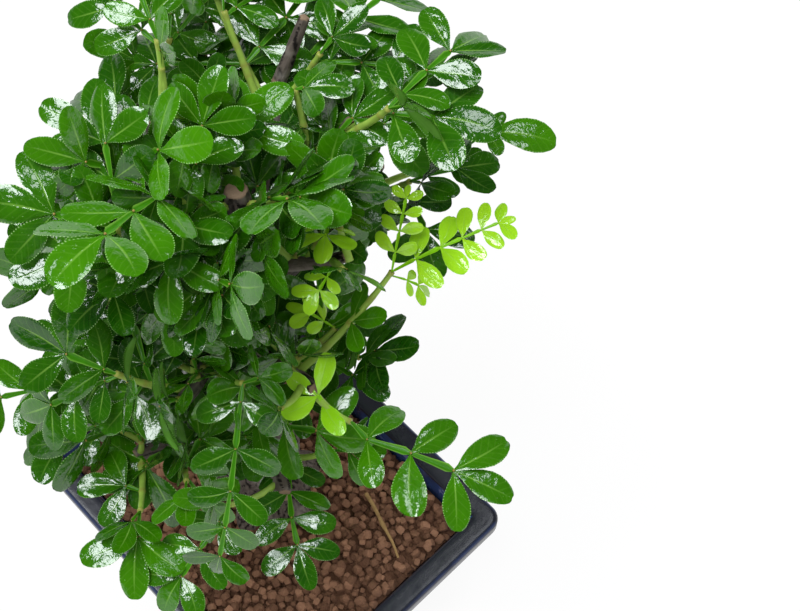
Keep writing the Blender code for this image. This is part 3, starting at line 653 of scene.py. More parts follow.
class BONSAI_OT_granules(bpy.types.Operator):
    """Fills the pot with clay granules on a dark bed, which is painted shade in the gaps between them"""

    bl_idname = "bonsai.granules"
    bl_label = "Clay granules"

    layers = (-0.95, -0.42)  # heights of the two layers' middles under the bed's top, in granules
    pitch = 0.94  # distance from one granule to the next, in granules
    stray = 0.4  # how far a granule may lie off its place, in that distance
    lip_reach = 9 * MM  # how far in from the pot's outer edge the bed starts to rise
    base_fit = 0.985  # size of the dark base under the granules, in the solid bed's
    base_lean = 0.9  # width of the base's underside, in its top's
    shape_count = 8

    def granule_shapes(self):
        """A few broken, angular grains, each a rounded cube knocked out of true."""
        shapes = []
        for number in range(self.shape_count):
            bm = bmesh.new()
            bmesh.ops.create_cube(bm, size=1)
            bmesh.ops.subdivide_edges(bm, edges=bm.edges, cuts=1, use_grid_fill=True)
            for vert in bm.verts:
                knock = noise.noise(vert.co * 1.9 + Vector((number * 5.0, 0, 0)))
                vert.co = vert.co.normalized() * (0.34 + 0.3 * knock) + vert.co * 0.32
            bm.verts.layers.float.new("tint")
            mesh = bpy.data.meshes.new(f"granule_{number}")
            bm.to_mesh(mesh)
            bm.free()
            shapes.append(mesh)
        return shapes

    def bed_height(self, settings, x, y):
        """The bed rises in a soft curve from the wall to its level middle."""
        inward = min(POT_LENGTH / 2 - abs(x - POT_MIDDLE.x), POT_WIDTH / 2 - abs(y - POT_MIDDLE.y))
        share = min(max((inward - self.lip_reach) / settings.slope, 0.0), 1.0)
        return settings.edge + (settings.crown - settings.edge) * (1 - (1 - share) ** 2)

    def base(self, settings, low, high):
        """The block under the granules, in the darkest clay as painted shade in the gaps; its top follows
        the bed.
        """
        bm = bmesh.new()
        bm.verts.layers.float.new("tint")
        bmesh.ops.create_grid(bm, x_segments=24, y_segments=18, size=0.5)
        size = high - low
        for vert in bm.verts:
            x, y = vert.co.x * size.x * self.base_fit, vert.co.y * size.y * self.base_fit
            vert.co = Vector((POT_MIDDLE.x + x, POT_MIDDLE.y + y, 0))
            vert.co.z = self.bed_height(settings, vert.co.x, vert.co.y) + self.layers[0] * settings.granule
        extruded = bmesh.ops.extrude_face_region(bm, geom=bm.faces[:])["geom"]
        for vert in extruded:
            if isinstance(vert, bmesh.types.BMVert):
                vert.co.z = low.z + 1 * MM
                vert.co.x = POT_MIDDLE.x + (vert.co.x - POT_MIDDLE.x) * self.base_lean
                vert.co.y = POT_MIDDLE.y + (vert.co.y - POT_MIDDLE.y) * self.base_lean
        bmesh.ops.recalc_face_normals(bm, faces=bm.faces)
        return bm

    def execute(self, context):
        settings = context.scene.bonsai_bed
        chance = random.Random(settings.seed)
        clay = baked_clay(settings)
        low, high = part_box("granule_bed")
        add_piece("granule_base", self.base(settings, low, high), [clay], ["granule_bed"])
        shapes = self.granule_shapes()
        for number, layer in enumerate(self.layers):
            bm = self.scatter(shapes, settings, chance, layer, low, high)
            add_piece(f"granules_layer_{number}", bm, [clay], sharp=38)
        return {"FINISHED"}

    def scatter(self, shapes, settings, chance, layer, low, high):
        """One layer of granules on a staggered grid, each moved, turned and sized a little differently."""
        whole = bmesh.new()
        whole.verts.layers.float.new("tint")
        pitch = settings.granule * self.pitch
        rows = int((high.y - low.y) / pitch)
        columns = int((high.x - low.x) / pitch)
        for row in range(rows + 1):
            bm = bmesh.new()
            tint = bm.verts.layers.float.new("tint")
            for column in range(columns + 1):
                place = column + 0.5 * (row % 2)
                x = low.x + place * pitch + chance.uniform(-self.stray, self.stray) * pitch
                y = low.y + row * pitch + chance.uniform(-self.stray, self.stray) * pitch
                width = settings.granule * chance.uniform(0.7, 1.3)
                edge = 0.45 * width
                if not (low.x + edge < x < high.x - edge and low.y + edge < y < high.y - edge):
                    continue
                middle = self.bed_height(settings, x, y) + layer * settings.granule
                z = middle + chance.uniform(-0.2, 0.12) * width
                turn = Quaternion([chance.gauss(0, 1) for _ in range(4)]).normalized()
                shape = Matrix.Diagonal((width, width * chance.uniform(0.7, 1.0), width * 0.8, 1.0))
                matrix = Matrix.Translation((x, y, z)) @ turn.to_matrix().to_4x4() @ shape
                start = len(bm.verts)
                bm.from_mesh(chance.choice(shapes))
                bm.verts.ensure_lookup_table()
                added = bm.verts[start:]
                bmesh.ops.transform(bm, matrix=matrix, verts=added)
                # the lower layer is painted darker, as shade in the gaps of the layer above; the random part
                # is each granule's own tone
                shade = chance.random() ** 1.2 * (1.0 + 0.5 * layer)
                for vert in added:
                    vert[tint] = shade
            strip = bpy.data.meshes.new("strip")
            bm.to_mesh(strip)
            bm.free()
            whole.from_mesh(strip)
            bpy.data.meshes.remove(strip)
        return whole


def black_polythene():
    """Moulded polythene mesh: near-black with the soft waxy sheen of the plastic."""
    made, tree, shader = new_material("black_polythene")
    place = node(tree, "ShaderNodeTexCoord").outputs["Object"]
    haze = node(tree, "ShaderNodeTexNoise", {"Vector": place, "Scale": per_metre(10 / 7), "Detail": 2.0})
    gloss = node(tree, "ShaderNodeMapRange", {"Value": haze.outputs["Fac"], "To Min": 0.35, "To Max": 0.6})
    tree.links.new(gloss.outputs[0], shader.inputs["Roughness"])
    shader.inputs["Base Color"].default_value = rgba(linear("#1B1B1C"))
    return made


def dry_straw():
    """A shed leaf stalk: papery, bleached, with darker streaks along it."""
    made, tree, shader = new_material("dry_straw")
    place = node(tree, "ShaderNodeTexCoord").outputs["Object"]
    streaks = node(tree, "ShaderNodeTexNoise", {"Vector": place, "Scale": per_metre(2.0), "Detail": 3.0})
    colour = node(
        tree,
        "ShaderNodeMix",
        {0: streaks.outputs["Fac"], 6: rgba(linear("#7A5A35")), 7: rgba(linear("#B4935C"))},
        data_type="RGBA",
    )
    tree.links.new(colour.outputs[2], shader.inputs["Base Color"])
    shader.inputs["Roughness"].default_value = 0.8
    return made


class BONSAI_OT_small_things(bpy.types.Operator):
    """Finishes the drain screens and lays the dry stalk on the granules"""

    bl_idname = "bonsai.small_things"
    bl_label = "Screens and dry stalk"

    # place from the trunk's foot, and lift off the granules
    stalk_path = [(30, 24, 0.0), (36, 22.6, 0.4), (44, 20, 0.2), (52, 17.6, 0.7), (58, 15, 0.3)]
    stalk_radius = 0.9 * MM  # at the stalk's thick end; its thin end has half of that
    stalk_knot = 0.3 * MM  # how much it swells in its middle

    def execute(self, context):
        plastic = black_polythene()
        for name in ("drain_screen_left", "drain_screen_right"):
            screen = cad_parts[name]
            for slot in screen.material_slots:
                slot.material = plastic
        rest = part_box("dry_leaf_stalk")[0].z + self.stalk_radius
        points = [TREE_FOOT + Vector((x * MM, y * MM, rest + lift * MM)) for x, y, lift in self.stalk_path]
        path = smooth_path(points, 5)
        radii = []
        for i in range(len(path)):
            share = i / (len(path) - 1)
            knot = max(0.0, 1 - abs(share - 0.5) * 12)
            radii.append(self.stalk_radius * (1 - 0.5 * share) + self.stalk_knot * knot)
        bm = bmesh.new()
        grow_rings(bm, tube_rings(path, radii, 8))
        bmesh.ops.recalc_face_normals(bm, faces=bm.faces)
        add_piece("dry_stalk", bm, [dry_straw()], ["dry_leaf_stalk"])
        return {"FINISHED"}


# ---------------------------------------------------------------- wood
def trunk_line():
    """Points of the trunk's middle from the ground up, each with the radius there."""
    return [(TREE_FOOT + Vector(row[:3]) * MM, row[3] * MM) for row in TRUNK_PATH]


def trunk_point(height):
    """The trunk's centre and radius at a height in millimetres."""
    line = trunk_line()
    for (low, low_radius), (high, high_radius) in zip(line, line[1:]):
        if low.z <= height * MM <= high.z:
            t = (height * MM - low.z) / (high.z - low.z)
            return low.lerp(high, t), low_radius + (high_radius - low_radius) * t
    return line[-1]


def root_swell(point, angle):
    """How far the buttress roots stand out of the trunk's foot."""
    if point.z > ROOT_TOP:
        return 0.0
    share = min((ROOT_TOP - point.z) / (ROOT_TOP - ROOT_LEVEL), 1.0)
    ridge = 0.35 + 0.65 * max(math.cos(ROOT_COUNT * angle), 0.0)
    return ROOT_REACH * ridge * share**2


def branch_line(branch, steps=2):
    """Points along a branch from the trunk's middle to its cut end."""
    _, height, angle, length, rise, _ = branch
    start, trunk_radius = trunk_point(height)
    reach = (length * MM + trunk_radius) / len(BRANCH_TURN_UP)
    points = [start]
    for turn_up in BRANCH_TURN_UP:
        points.append(points[-1] + direction(angle, rise + turn_up) * reach)
    return smooth_path(points, steps)


def branch_radius(branch, share):
    """A branch's radius at a share of its length."""
    _, trunk_radius = trunk_point(branch[1])
    return trunk_radius * (BRANCH_BASE_SHARE + (BRANCH_TIP_SHARE - BRANCH_BASE_SHARE) * share)


def branch_named(name):
    return next(branch for branch in BRANCHES if branch[0] == name)


def stub_ends(row):
    """The middle of the branch that a stub stands on, and the stub's pruned tip."""
    carrier, share, angle, rise, length, _ = row
    line = branch_line(branch_named(carrier), 5)
    base = line[round(share * (len(line) - 1))]
    return base, base + direction(angle, rise) * length * MM


def bonsai_bark(settings):
    """Bark of an old pruned trunk: dry, matt grey-brown plates with a bloom of pale lichen, dark cracks that
    run along the wood, and tan pruned ends."""
    made, tree, shader = new_material("bonsai_bark")
    grain = node(tree, "ShaderNodeAttribute", attribute_name="grain").outputs["Vector"]
    cut = node(tree, "ShaderNodeAttribute", attribute_name="cut").outputs["Fac"]
    hollow = node(tree, "ShaderNodeAttribute", attribute_name="hollow").outputs["Fac"]
    fibre = node(tree, "ShaderNodeMapping", {"Vector": grain, "Scale": (1.0, 1.0, 0.16)})
    streaks = node(
        tree,
        "ShaderNodeTexNoise",
        {"Vector": fibre.outputs[0], "Scale": per_metre(10 / 9), "Detail": 5.0, "Roughness": 0.65},
    )
    plates = node(tree, "ShaderNodeTexNoise", {"Vector": grain, "Scale": per_metre(100 / 13), "Detail": 3.0})
    height = node(tree, "ShaderNodeMath", {0: streaks.outputs["Fac"], 1: hollow}, operation="SUBTRACT")
    share = node(
        tree, "ShaderNodeMapRange", {"Value": height.outputs[0], "From Min": 0.12, "From Max": 0.62}
    )
    bark = node(
        tree,
        "ShaderNodeMix",
        {0: share.outputs[0], 6: rgba(settings.crack), 7: rgba(settings.bark)},
        data_type="RGBA",
    )
    lichen = node(
        tree,
        "ShaderNodeMapRange",
        {"Value": plates.outputs["Fac"], "From Min": 0.52, "From Max": 0.75, "To Max": 0.5},
    )
    weathered = node(
        tree,
        "ShaderNodeMix",
        {0: lichen.outputs[0], 6: bark.outputs[2], 7: rgba(linear("#A39C92"))},
        data_type="RGBA",
    )
    wood = node(
        tree, "ShaderNodeMix", {0: cut, 6: weathered.outputs[2], 7: rgba(settings.cut)}, data_type="RGBA"
    )
    bump = node(
        tree, "ShaderNodeBump", {"Height": streaks.outputs["Fac"], "Strength": 0.8, "Distance": 0.5 * MM}
    )
    tree.links.new(wood.outputs[2], shader.inputs["Base Color"])
    tree.links.new(bump.outputs[0], shader.inputs["Normal"])
    shader.inputs["Roughness"].default_value = 0.88
    shader.inputs["Specular IOR Level"].default_value = 0.25
    return made


class BONSAI_OT_wood(bpy.types.Operator):
    """Grows the barked trunk with its roots, branches and pruned ends as one piece of wood"""

    bl_idname = "bonsai.wood"
    bl_label = "Trunk and branches"

    crack_width = 2.4 * MM
    crack_stretch = 0.13  # a crack's width, in its length
    crack_edge = 6  # how steeply a crack's sides fall
    lump_size, lump_height = 9 * MM, 0.5 * MM
    full_depth_radius = 9 * MM  # thinner wood has shallower cracks
    pruned_depth = 0.45 * MM  # how far down a limb its cut end's colour reaches

    def limbs(self):
        """Each limb's path, radii, sides and swell. All end in a pruned cut."""
        line = trunk_line()
        path = smooth_path([point for point, _ in line], 4)
        radii = []
        for i in range(len(path)):
            low = min(i // 4, len(line) - 2)
            blend = i / 4 - low
            radii.append(line[low][1] * (1 - blend) + line[low + 1][1] * blend)
        found = [(path, radii, 30, root_swell)]
        for branch in BRANCHES:
            path = branch_line(branch, 5)
            radii = []
            for i in range(len(path)):
                share = i / (len(path) - 1)
                collar = 0.45 * max(0.0, 1 - share * 4.5) ** 2  # the branch flares into the trunk
                knuckle = 0.072 * math.sin(share * 9 + branch[1])
                radii.append(branch_radius(branch, share) * (1 + collar + knuckle))
            found.append((path, radii, 12, None))
        for row in STUBS:
            base, tip = stub_ends(row)
            path = [base.lerp(tip, k / 4) for k in range(5)]
            radii = [row[5] * MM * (1.25 - 0.08 * k) for k in range(5)]
            found.append((path, radii, 10, None))
        return found

    def execute(self, context):
        settings = context.scene.bonsai_wood
        limbs = self.limbs()
        bm = bmesh.new()
        for path, radii, sides, swell in limbs:
            grow_rings(bm, tube_rings(path, radii, sides, swell))
        bmesh.ops.recalc_face_normals(bm, faces=bm.faces)
        rough = scratch_object("rough_wood", bm)
        skin = rough.modifiers.new("skin", "REMESH")
        skin.mode = "VOXEL"
        skin.voxel_size = settings.skin
        mesh = evaluated_mesh(rough)
        bpy.data.objects.remove(rough)
        bm = bmesh.new()
        bm.from_mesh(mesh)
        bmesh.ops.smooth_vert(
            bm, verts=bm.verts, factor=0.5, use_axis_x=True, use_axis_y=True, use_axis_z=True
        )
        self.carve(bm, limbs, settings)
        nodes = ["trunk", *(f"branch_{branch[0]}" for branch in BRANCHES)]
        add_piece("barked_wood", bm, [bonsai_bark(settings)], nodes, sharp=None)
        return {"FINISHED"}

    def grain_places(self, limbs):
        """Points along all the limbs: each with its heading, radius and distance along the grain."""
        places = []
        for path, radii, _, _ in limbs:
            travelled = len(places) * 3.7 * MM  # so that no two limbs' cracks are the same
            for i, point in enumerate(path):
                ahead = path[min(i + 1, len(path) - 1)] - path[max(i - 1, 0)]
                if i:
                    travelled += (point - path[i - 1]).length
                places.append((point, ahead.normalized(), radii[i], travelled))
        return places

    def carve(self, bm, limbs, settings):
        """Cuts cracks along the limbs and marks each vertex with its place along the grain."""
        places = self.grain_places(limbs)
        nearest = KDTree(len(places))
        for i, place in enumerate(places):
            nearest.insert(place[0], i)
        nearest.balance()
        ends = [(path[-1], (path[-1] - path[-2]).normalized(), radii[-1]) for path, radii, _, _ in limbs]
        grain = bm.verts.layers.float_vector.new("grain")
        cut = bm.verts.layers.float.new("cut")
        hollow = bm.verts.layers.float.new("hollow")
        bm.normal_update()
        moves = []
        for vert in bm.verts:
            _, index, _ = nearest.find(vert.co)
            point, ahead, radius, travelled = places[index]
            away = vert.co - point
            along = away.dot(ahead)
            across = away - ahead * along
            sideways = ahead.orthogonal().normalized()
            other = ahead.cross(sideways)
            local = Vector((across.dot(sideways), across.dot(other), travelled + along))
            vert[grain] = local
            stretched = Vector((local.x, local.y, local.z * self.crack_stretch)) / self.crack_width
            crack = 1 - abs(noise.noise(stretched)) * self.crack_edge
            deep = max(crack, 0.0) ** 2
            vert[hollow] = deep
            thickness = min(radius / self.full_depth_radius, 1.0)
            depth = settings.fissure * (0.45 + 0.55 * thickness)
            lump = noise.noise(local / self.lump_size) * self.lump_height * thickness
            pruned = any(
                (vert.co - end).dot(way) > -self.pruned_depth and (vert.co - end).length < end_radius * 1.5
                for end, way, end_radius in ends
            )
            vert[cut] = 1.0 if pruned else 0.0
            moves.append((vert, vert.normal * (lump - deep * depth) * (0.15 if pruned else 1)))
        for vert, move in moves:
            vert.co = vert.co + move


# ---------------------------------------------------------------- leaves and stems
def waxy_leaf(name, settings, dark, light):
    """A living leaflet: a thick wax film, wet-looking and broken up by the puckered tissue under it, a
    pale sunken midrib, pale oil glands scattered in the blade, and pale specks in the margin's notches that
    are partly glands and partly painted glints on the notched edge; its lower face is paler, partly its own
    colour and partly painted light shining through the leaf."""
    made, tree, shader = new_material(name)
    place = node(tree, "ShaderNodeTexCoord").outputs["Object"]
    chart = node(tree, "ShaderNodeUVMap", uv_map="blade").outputs[0]
    tint = node(tree, "ShaderNodeAttribute", attribute_name="tint").outputs["Fac"]
    under = node(tree, "ShaderNodeAttribute", attribute_name="under").outputs["Fac"]
    split = node(tree, "ShaderNodeSeparateXYZ", {0: chart})
    along, across = split.outputs[0], split.outputs[1]
    signed = node(tree, "ShaderNodeMath", {0: across, 1: 2.0, 2: -1.0}, operation="MULTIPLY_ADD")
    side = node(tree, "ShaderNodeMath", {0: signed.outputs[0]}, operation="ABSOLUTE").outputs[0]

    # colour: patches a few millimetres across, from older to fresher green
    patches = node(
        tree, "ShaderNodeTexNoise", {"Vector": place, "Scale": per_metre(100 / 17), "Detail": 3.0}
    )
    shade = node(
        tree, "ShaderNodeMath", {0: patches.outputs["Fac"], 1: 0.5, 2: tint}, operation="MULTIPLY_ADD"
    )
    shade = node(tree, "ShaderNodeMapRange", {"Value": shade.outputs[0], "From Min": 0.2, "From Max": 1.3})
    blade = node(
        tree, "ShaderNodeMix", {0: shade.outputs[0], 6: rgba(dark), 7: rgba(light)}, data_type="RGBA"
    )

    # midrib: a thin pale line that fades before the tip, with eight faint side veins that slant forward
    rib_edge = node(tree, "ShaderNodeMapRange", {"Value": along, "To Min": 0.15, "To Max": 0.05})
    rib = node(
        tree,
        "ShaderNodeMapRange",
        {"Value": side, "From Min": 0.015, "From Max": rib_edge.outputs[0], "To Min": 0.4, "To Max": 0.0},
        interpolation_type="SMOOTHSTEP",
    )
    fade = node(
        tree,
        "ShaderNodeMapRange",
        {"Value": along, "From Min": 0.3, "From Max": 0.85, "To Min": 1.0, "To Max": 0.12},
    )
    rib = node(tree, "ShaderNodeMath", {0: rib.outputs[0], 1: fade.outputs[0]}, operation="MULTIPLY")
    slant = node(tree, "ShaderNodeMath", {0: side, 1: -0.22, 2: along}, operation="MULTIPLY_ADD")
    veins = node(tree, "ShaderNodeMath", {0: slant.outputs[0], 1: 50.0}, operation="MULTIPLY")
    veins = node(tree, "ShaderNodeMath", {0: veins.outputs[0]}, operation="SINE")
    vein = node(
        tree,
        "ShaderNodeMapRange",
        {"Value": veins.outputs[0], "From Min": 0.7, "From Max": 1.0, "To Max": 0.05},
    )
    ribbed = node(tree, "ShaderNodeMath", {0: rib.outputs[0], 1: vein.outputs[0]}, operation="MAXIMUM")
    drawn = node(
        tree,
        "ShaderNodeMix",
        {0: ribbed.outputs[0], 6: blade.outputs[2], 7: rgba(settings.rib)},
        data_type="RGBA",
    )

    # oil glands: about one every 1.5 mm in the blade; and a pale speck in each of the margin's 25 notches,
    # partly a gland and partly a painted glint on the notched edge
    shuffled = node(tree, "ShaderNodeMath", {0: tint, 1: 37.0}, operation="MULTIPLY")
    cells = node(tree, "ShaderNodeCombineXYZ", {0: along, 1: across, 2: shuffled.outputs[0]})
    cells = node(tree, "ShaderNodeMapping", {"Vector": cells.outputs[0], "Scale": (10.0, 6.0, 1.0)})
    glands = node(tree, "ShaderNodeTexVoronoi", {"Vector": cells.outputs[0], "Scale": 1.0})
    gland = node(
        tree,
        "ShaderNodeMapRange",
        {
            "Value": glands.outputs["Distance"],
            "From Min": 0.04,
            "From Max": 0.13,
            "To Min": 0.26,
            "To Max": 0.0,
        },
    )
    notches = node(tree, "ShaderNodeMath", {0: along, 1: 160.0}, operation="MULTIPLY")
    notches = node(tree, "ShaderNodeMath", {0: notches.outputs[0]}, operation="SINE")
    notch = node(
        tree,
        "ShaderNodeMapRange",
        {"Value": notches.outputs[0], "From Min": -0.1, "From Max": 0.9, "To Max": 0.55},
    )
    margin = node(
        tree,
        "ShaderNodeMapRange",
        {"Value": side, "From Min": 0.9, "From Max": 0.98},
        interpolation_type="SMOOTHSTEP",
    )
    # pale specks along the margin: partly oil glands, partly painted glints on the notched edge
    margin_glands_and_glints = node(tree, "ShaderNodeMath", {0: notch.outputs[0], 1: margin.outputs[0]}, operation="MULTIPLY")
    glands_and_glints = node(tree, "ShaderNodeMath", {0: gland.outputs[0], 1: margin_glands_and_glints.outputs[0]}, operation="MAXIMUM")
    pale = [min(1.0, 0.18 + 0.9 * c) for c in settings.rib]
    with_glands_and_glints = node(
        tree, "ShaderNodeMix", {0: glands_and_glints.outputs[0], 6: drawn.outputs[2], 7: rgba(pale)}, data_type="RGBA"
    )
    # the paler lower face is partly the leaflet's own colour and partly painted light shining through the
    # leaf
    both = node(
        tree,
        "ShaderNodeMix",
        {0: under, 6: with_glands_and_glints.outputs[2], 7: rgba(settings.underside_and_light_through)},
        data_type="RGBA",
    )

    # relief: puckers from 3 mm down to half a millimetre, which break the wax's highlight into glints,
    # and the sunken midrib
    pucker = node(
        tree,
        "ShaderNodeTexNoise",
        {"Vector": place, "Scale": per_metre(100 / 33), "Detail": 3.0, "Roughness": 0.55},
    )
    sunk = node(
        tree,
        "ShaderNodeMath",
        {0: ribbed.outputs[0], 1: -0.4, 2: pucker.outputs["Fac"]},
        operation="MULTIPLY_ADD",
    )
    bump = node(tree, "ShaderNodeBump", {"Height": sunk.outputs[0], "Strength": 1.0, "Distance": 0.29 * MM})
    tree.links.new(both.outputs[2], shader.inputs["Base Color"])
    tree.links.new(bump.outputs[0], shader.inputs["Normal"])
    tree.links.new(bump.outputs[0], shader.inputs["Coat Normal"])
    shader.inputs["Roughness"].default_value = 0.3
    shader.inputs["IOR"].default_value = 1.45
    shader.inputs["Specular IOR Level"].default_value = 0.0  # all of the gloss is the wax's
    shader.inputs["Coat Weight"].default_value = 1.0
    shader.inputs["Coat IOR"].default_value = 1.65
    shader.inputs["Coat Roughness"].default_value = 0.11
    return made


def green_skin(name, colour, joint_colour, edge_colour, margin_light):
    """Soft green stem or midrib: satin skin, brown at the joints; a winged midrib is paler at its edges."""
    made, tree, shader = new_material(name)
    place = node(tree, "ShaderNodeTexCoord").outputs["Object"]
    joint = node(tree, "ShaderNodeAttribute", attribute_name="joint").outputs["Fac"]
    chart = node(tree, "ShaderNodeUVMap", uv_map="blade").outputs[0]
    across = node(tree, "ShaderNodeSeparateXYZ", {0: chart}).outputs[1]
    signed = node(tree, "ShaderNodeMath", {0: across, 1: 2.0, 2: -1.0}, operation="MULTIPLY_ADD")
    side = node(tree, "ShaderNodeMath", {0: signed.outputs[0]}, operation="ABSOLUTE")
    edge = node(
        tree,
        "ShaderNodeMapRange",
        {"Value": side.outputs[0], "From Min": 0.55, "From Max": 1.0, "To Max": margin_light},
    )
    mottle = node(tree, "ShaderNodeTexNoise", {"Vector": place, "Scale": per_metre(10 / 3), "Detail": 3.0})
    shade = node(
        tree, "ShaderNodeMapRange", {"Value": mottle.outputs["Fac"], "To Min": 0.65, "To Max": 1.25}
    )
    skin = node(
        tree,
        "ShaderNodeMix",
        {0: 1.0, 6: rgba(colour), 7: shade.outputs[0]},
        data_type="RGBA",
        blend_type="MULTIPLY",
    )
    edged = node(
        tree,
        "ShaderNodeMix",
        {0: edge.outputs[0], 6: skin.outputs[2], 7: rgba(edge_colour)},
        data_type="RGBA",
    )
    banded = node(
        tree, "ShaderNodeMix", {0: joint, 6: edged.outputs[2], 7: rgba(joint_colour)}, data_type="RGBA"
    )
    bump = node(
        tree, "ShaderNodeBump", {"Height": mottle.outputs["Fac"], "Strength": 0.3, "Distance": 0.3 * MM}
    )
    tree.links.new(banded.outputs[2], shader.inputs["Base Color"])
    tree.links.new(bump.outputs[0], shader.inputs["Normal"])
    shader.inputs["Roughness"].default_value = 0.26
    shader.inputs["Specular IOR Level"].default_value = 0.2
    return made


LEAF_LAYERS = ("tint", "under", "joint")  # how fresh the green is, which face, and how near to a joint


def leaf_mesh():
    """An empty mesh with the layers that the leaf materials read."""
    bm = bmesh.new()
    bm.loops.layers.uv.new("blade")
    for key in LEAF_LAYERS:
        bm.verts.layers.float.new(key)
    return bm


class Blades:
    """The thin shapes that the foliage repeats: leaflets, lengths of winged midrib and the joint between."""

    variants = 10
    columns = 4  # faces across a blade
    margin_stations = (0.0, 0.11, 0.25, 0.4, 0.55, 0.69, 0.81, 0.905, 0.965)  # closer where it curves more
    leaflet_thickness = 0.02  # in the leaflet's length
    wing_stations = (0.0, 0.12, 0.5, 0.85, 1.0)
    wing_widths = (0.3, 0.55, 0.75, 1.0, 0.45)
    wing_thickness = 0.16  # in the wing's width
    wing_depth = 0.22  # of the channel along it

    def __init__(self):
        chance = random.Random("leaflets")
        self.shapes = {f"leaflet_{number}": self.leaflet(chance) for number in range(self.variants)}
        self.shapes["wing"] = self.wing()
        self.shapes["joint"] = self.joint()

    def finish(self, bm, name, material):
        """Keeps a shape as a mesh, smooth and all of one material."""
        for face in bm.faces:
            face.material_index = material
            face.smooth = True
        mesh = bpy.data.meshes.new(name)
        bm.to_mesh(mesh)
        bm.free()
        return mesh

    def sheet(self, rows, thickness, shape):
        """A thin closed blade; shape() places a point from its row and its share across, -1 to 1."""
        bm = leaf_mesh()
        chart = bm.loops.layers.uv["blade"]
        under = bm.verts.layers.float["under"]
        bmesh.ops.create_grid(bm, x_segments=rows, y_segments=self.columns, size=0.5)
        for face in bm.faces:
            for loop in face.loops:
                loop[chart].uv = loop.vert.co.xy + Vector((0.5, 0.5))
        for vert in bm.verts:
            vert.co = shape(round((vert.co.x + 0.5) * rows), 2 * vert.co.y)
        bm.normal_update()
        margin = [vert for vert in bm.verts if vert.is_boundary]
        inner = [vert for vert in bm.verts if not vert.is_boundary]
        back = bmesh.ops.duplicate(bm, geom=bm.faces[:])
        twin = back["vert_map"]
        bmesh.ops.reverse_faces(bm, faces=[g for g in back["geom"] if isinstance(g, bmesh.types.BMFace)])
        for vert in inner:
            twin[vert].co = twin[vert].co - vert.normal * thickness
            twin[vert][under] = 1.0
        bmesh.ops.remove_doubles(bm, verts=[*margin, *(twin[vert] for vert in margin)], dist=1e-6)
        for edge in bm.edges:
            faces = edge.link_faces
            edge.smooth = len({any(vert[under] > 0 for vert in face.verts) for face in faces}) == 1
        return bm

    def leaflet(self, chance):
        """A leaflet one long: narrow at its base, widest past its middle, round and slightly notched."""
        half = 0.5 * chance.uniform(0.47, 0.57)
        widest = chance.uniform(0.53, 0.65)
        fold, puff, dome = chance.uniform(0.0, 0.26), chance.uniform(0.02, 0.06), chance.uniform(0.1, 0.7)
        arch, twist = chance.uniform(0.02, 0.26), chance.uniform(-0.25, 0.25)
        skew, notch = chance.uniform(-0.06, 0.06), chance.uniform(0.0, 0.03)
        phase = chance.uniform(0, 6)
        last = len(self.margin_stations) - 1

        def outline(x):
            if x < widest:
                return max(math.sin(math.pi / 2 * x / widest) ** 1.25, 0.05)
            return math.sqrt(1 - ((x - widest) / (1 - widest)) ** 2.1)

        def shape(row, across):
            at_margin = self.margin_stations[row]
            round_off = 1 - across**2
            x = at_margin + (1 - self.margin_stations[-1]) * round_off * (row / last) ** 2
            if row == last:
                x -= notch * round_off**3
            y = across * half * outline(at_margin)
            bulge = puff * (1 - (2 * abs(across) - 1) ** 2) * outline(at_margin)
            ripple = 0.014 * math.sin(11 * x + phase + 4 * across) * abs(across)
            z = fold * abs(y) + bulge + ripple + twist * x * y - dome * y**2 - arch * x**2
            return Vector((x, y + skew * math.sin(math.pi * x), z))

        return self.finish(self.sheet(last, self.leaflet_thickness, shape), "leaflet", 0)

    def wing(self):
        """A length of midrib one long and one wide: a channel that widens towards its far joint."""

        def shape(row, across):
            width = self.wing_widths[row]
            depth = self.wing_depth * across**2 * width
            return Vector((self.wing_stations[row], 0.5 * across * width, depth))

        return self.finish(self.sheet(len(self.wing_stations) - 1, self.wing_thickness, shape), "wing", 1)

    def joint(self):
        """The brown bead where a pair of leaflets joins the midrib."""
        bm = leaf_mesh()
        bmesh.ops.create_icosphere(bm, subdivisions=1, radius=0.5)
        for vert in bm.verts:
            vert[bm.verts.layers.float["joint"]] = 1.0
        return self.finish(bm, "joint", 1)


def seat(origin, along, normal, length, width=None):
    """The matrix that puts a unit shape at a point, along one way and facing another."""
    along = along.normalized()
    across = normal.cross(along).normalized()
    facing = along.cross(across)
    width = width or length
    matrix = Matrix((along * length, across * width, facing * width)).transposed().to_4x4()
    matrix.translation = origin
    return matrix


def turned(vector, axis, degrees):
    """A vector turned about an axis."""
    return Quaternion(axis, math.radians(degrees)) @ vector


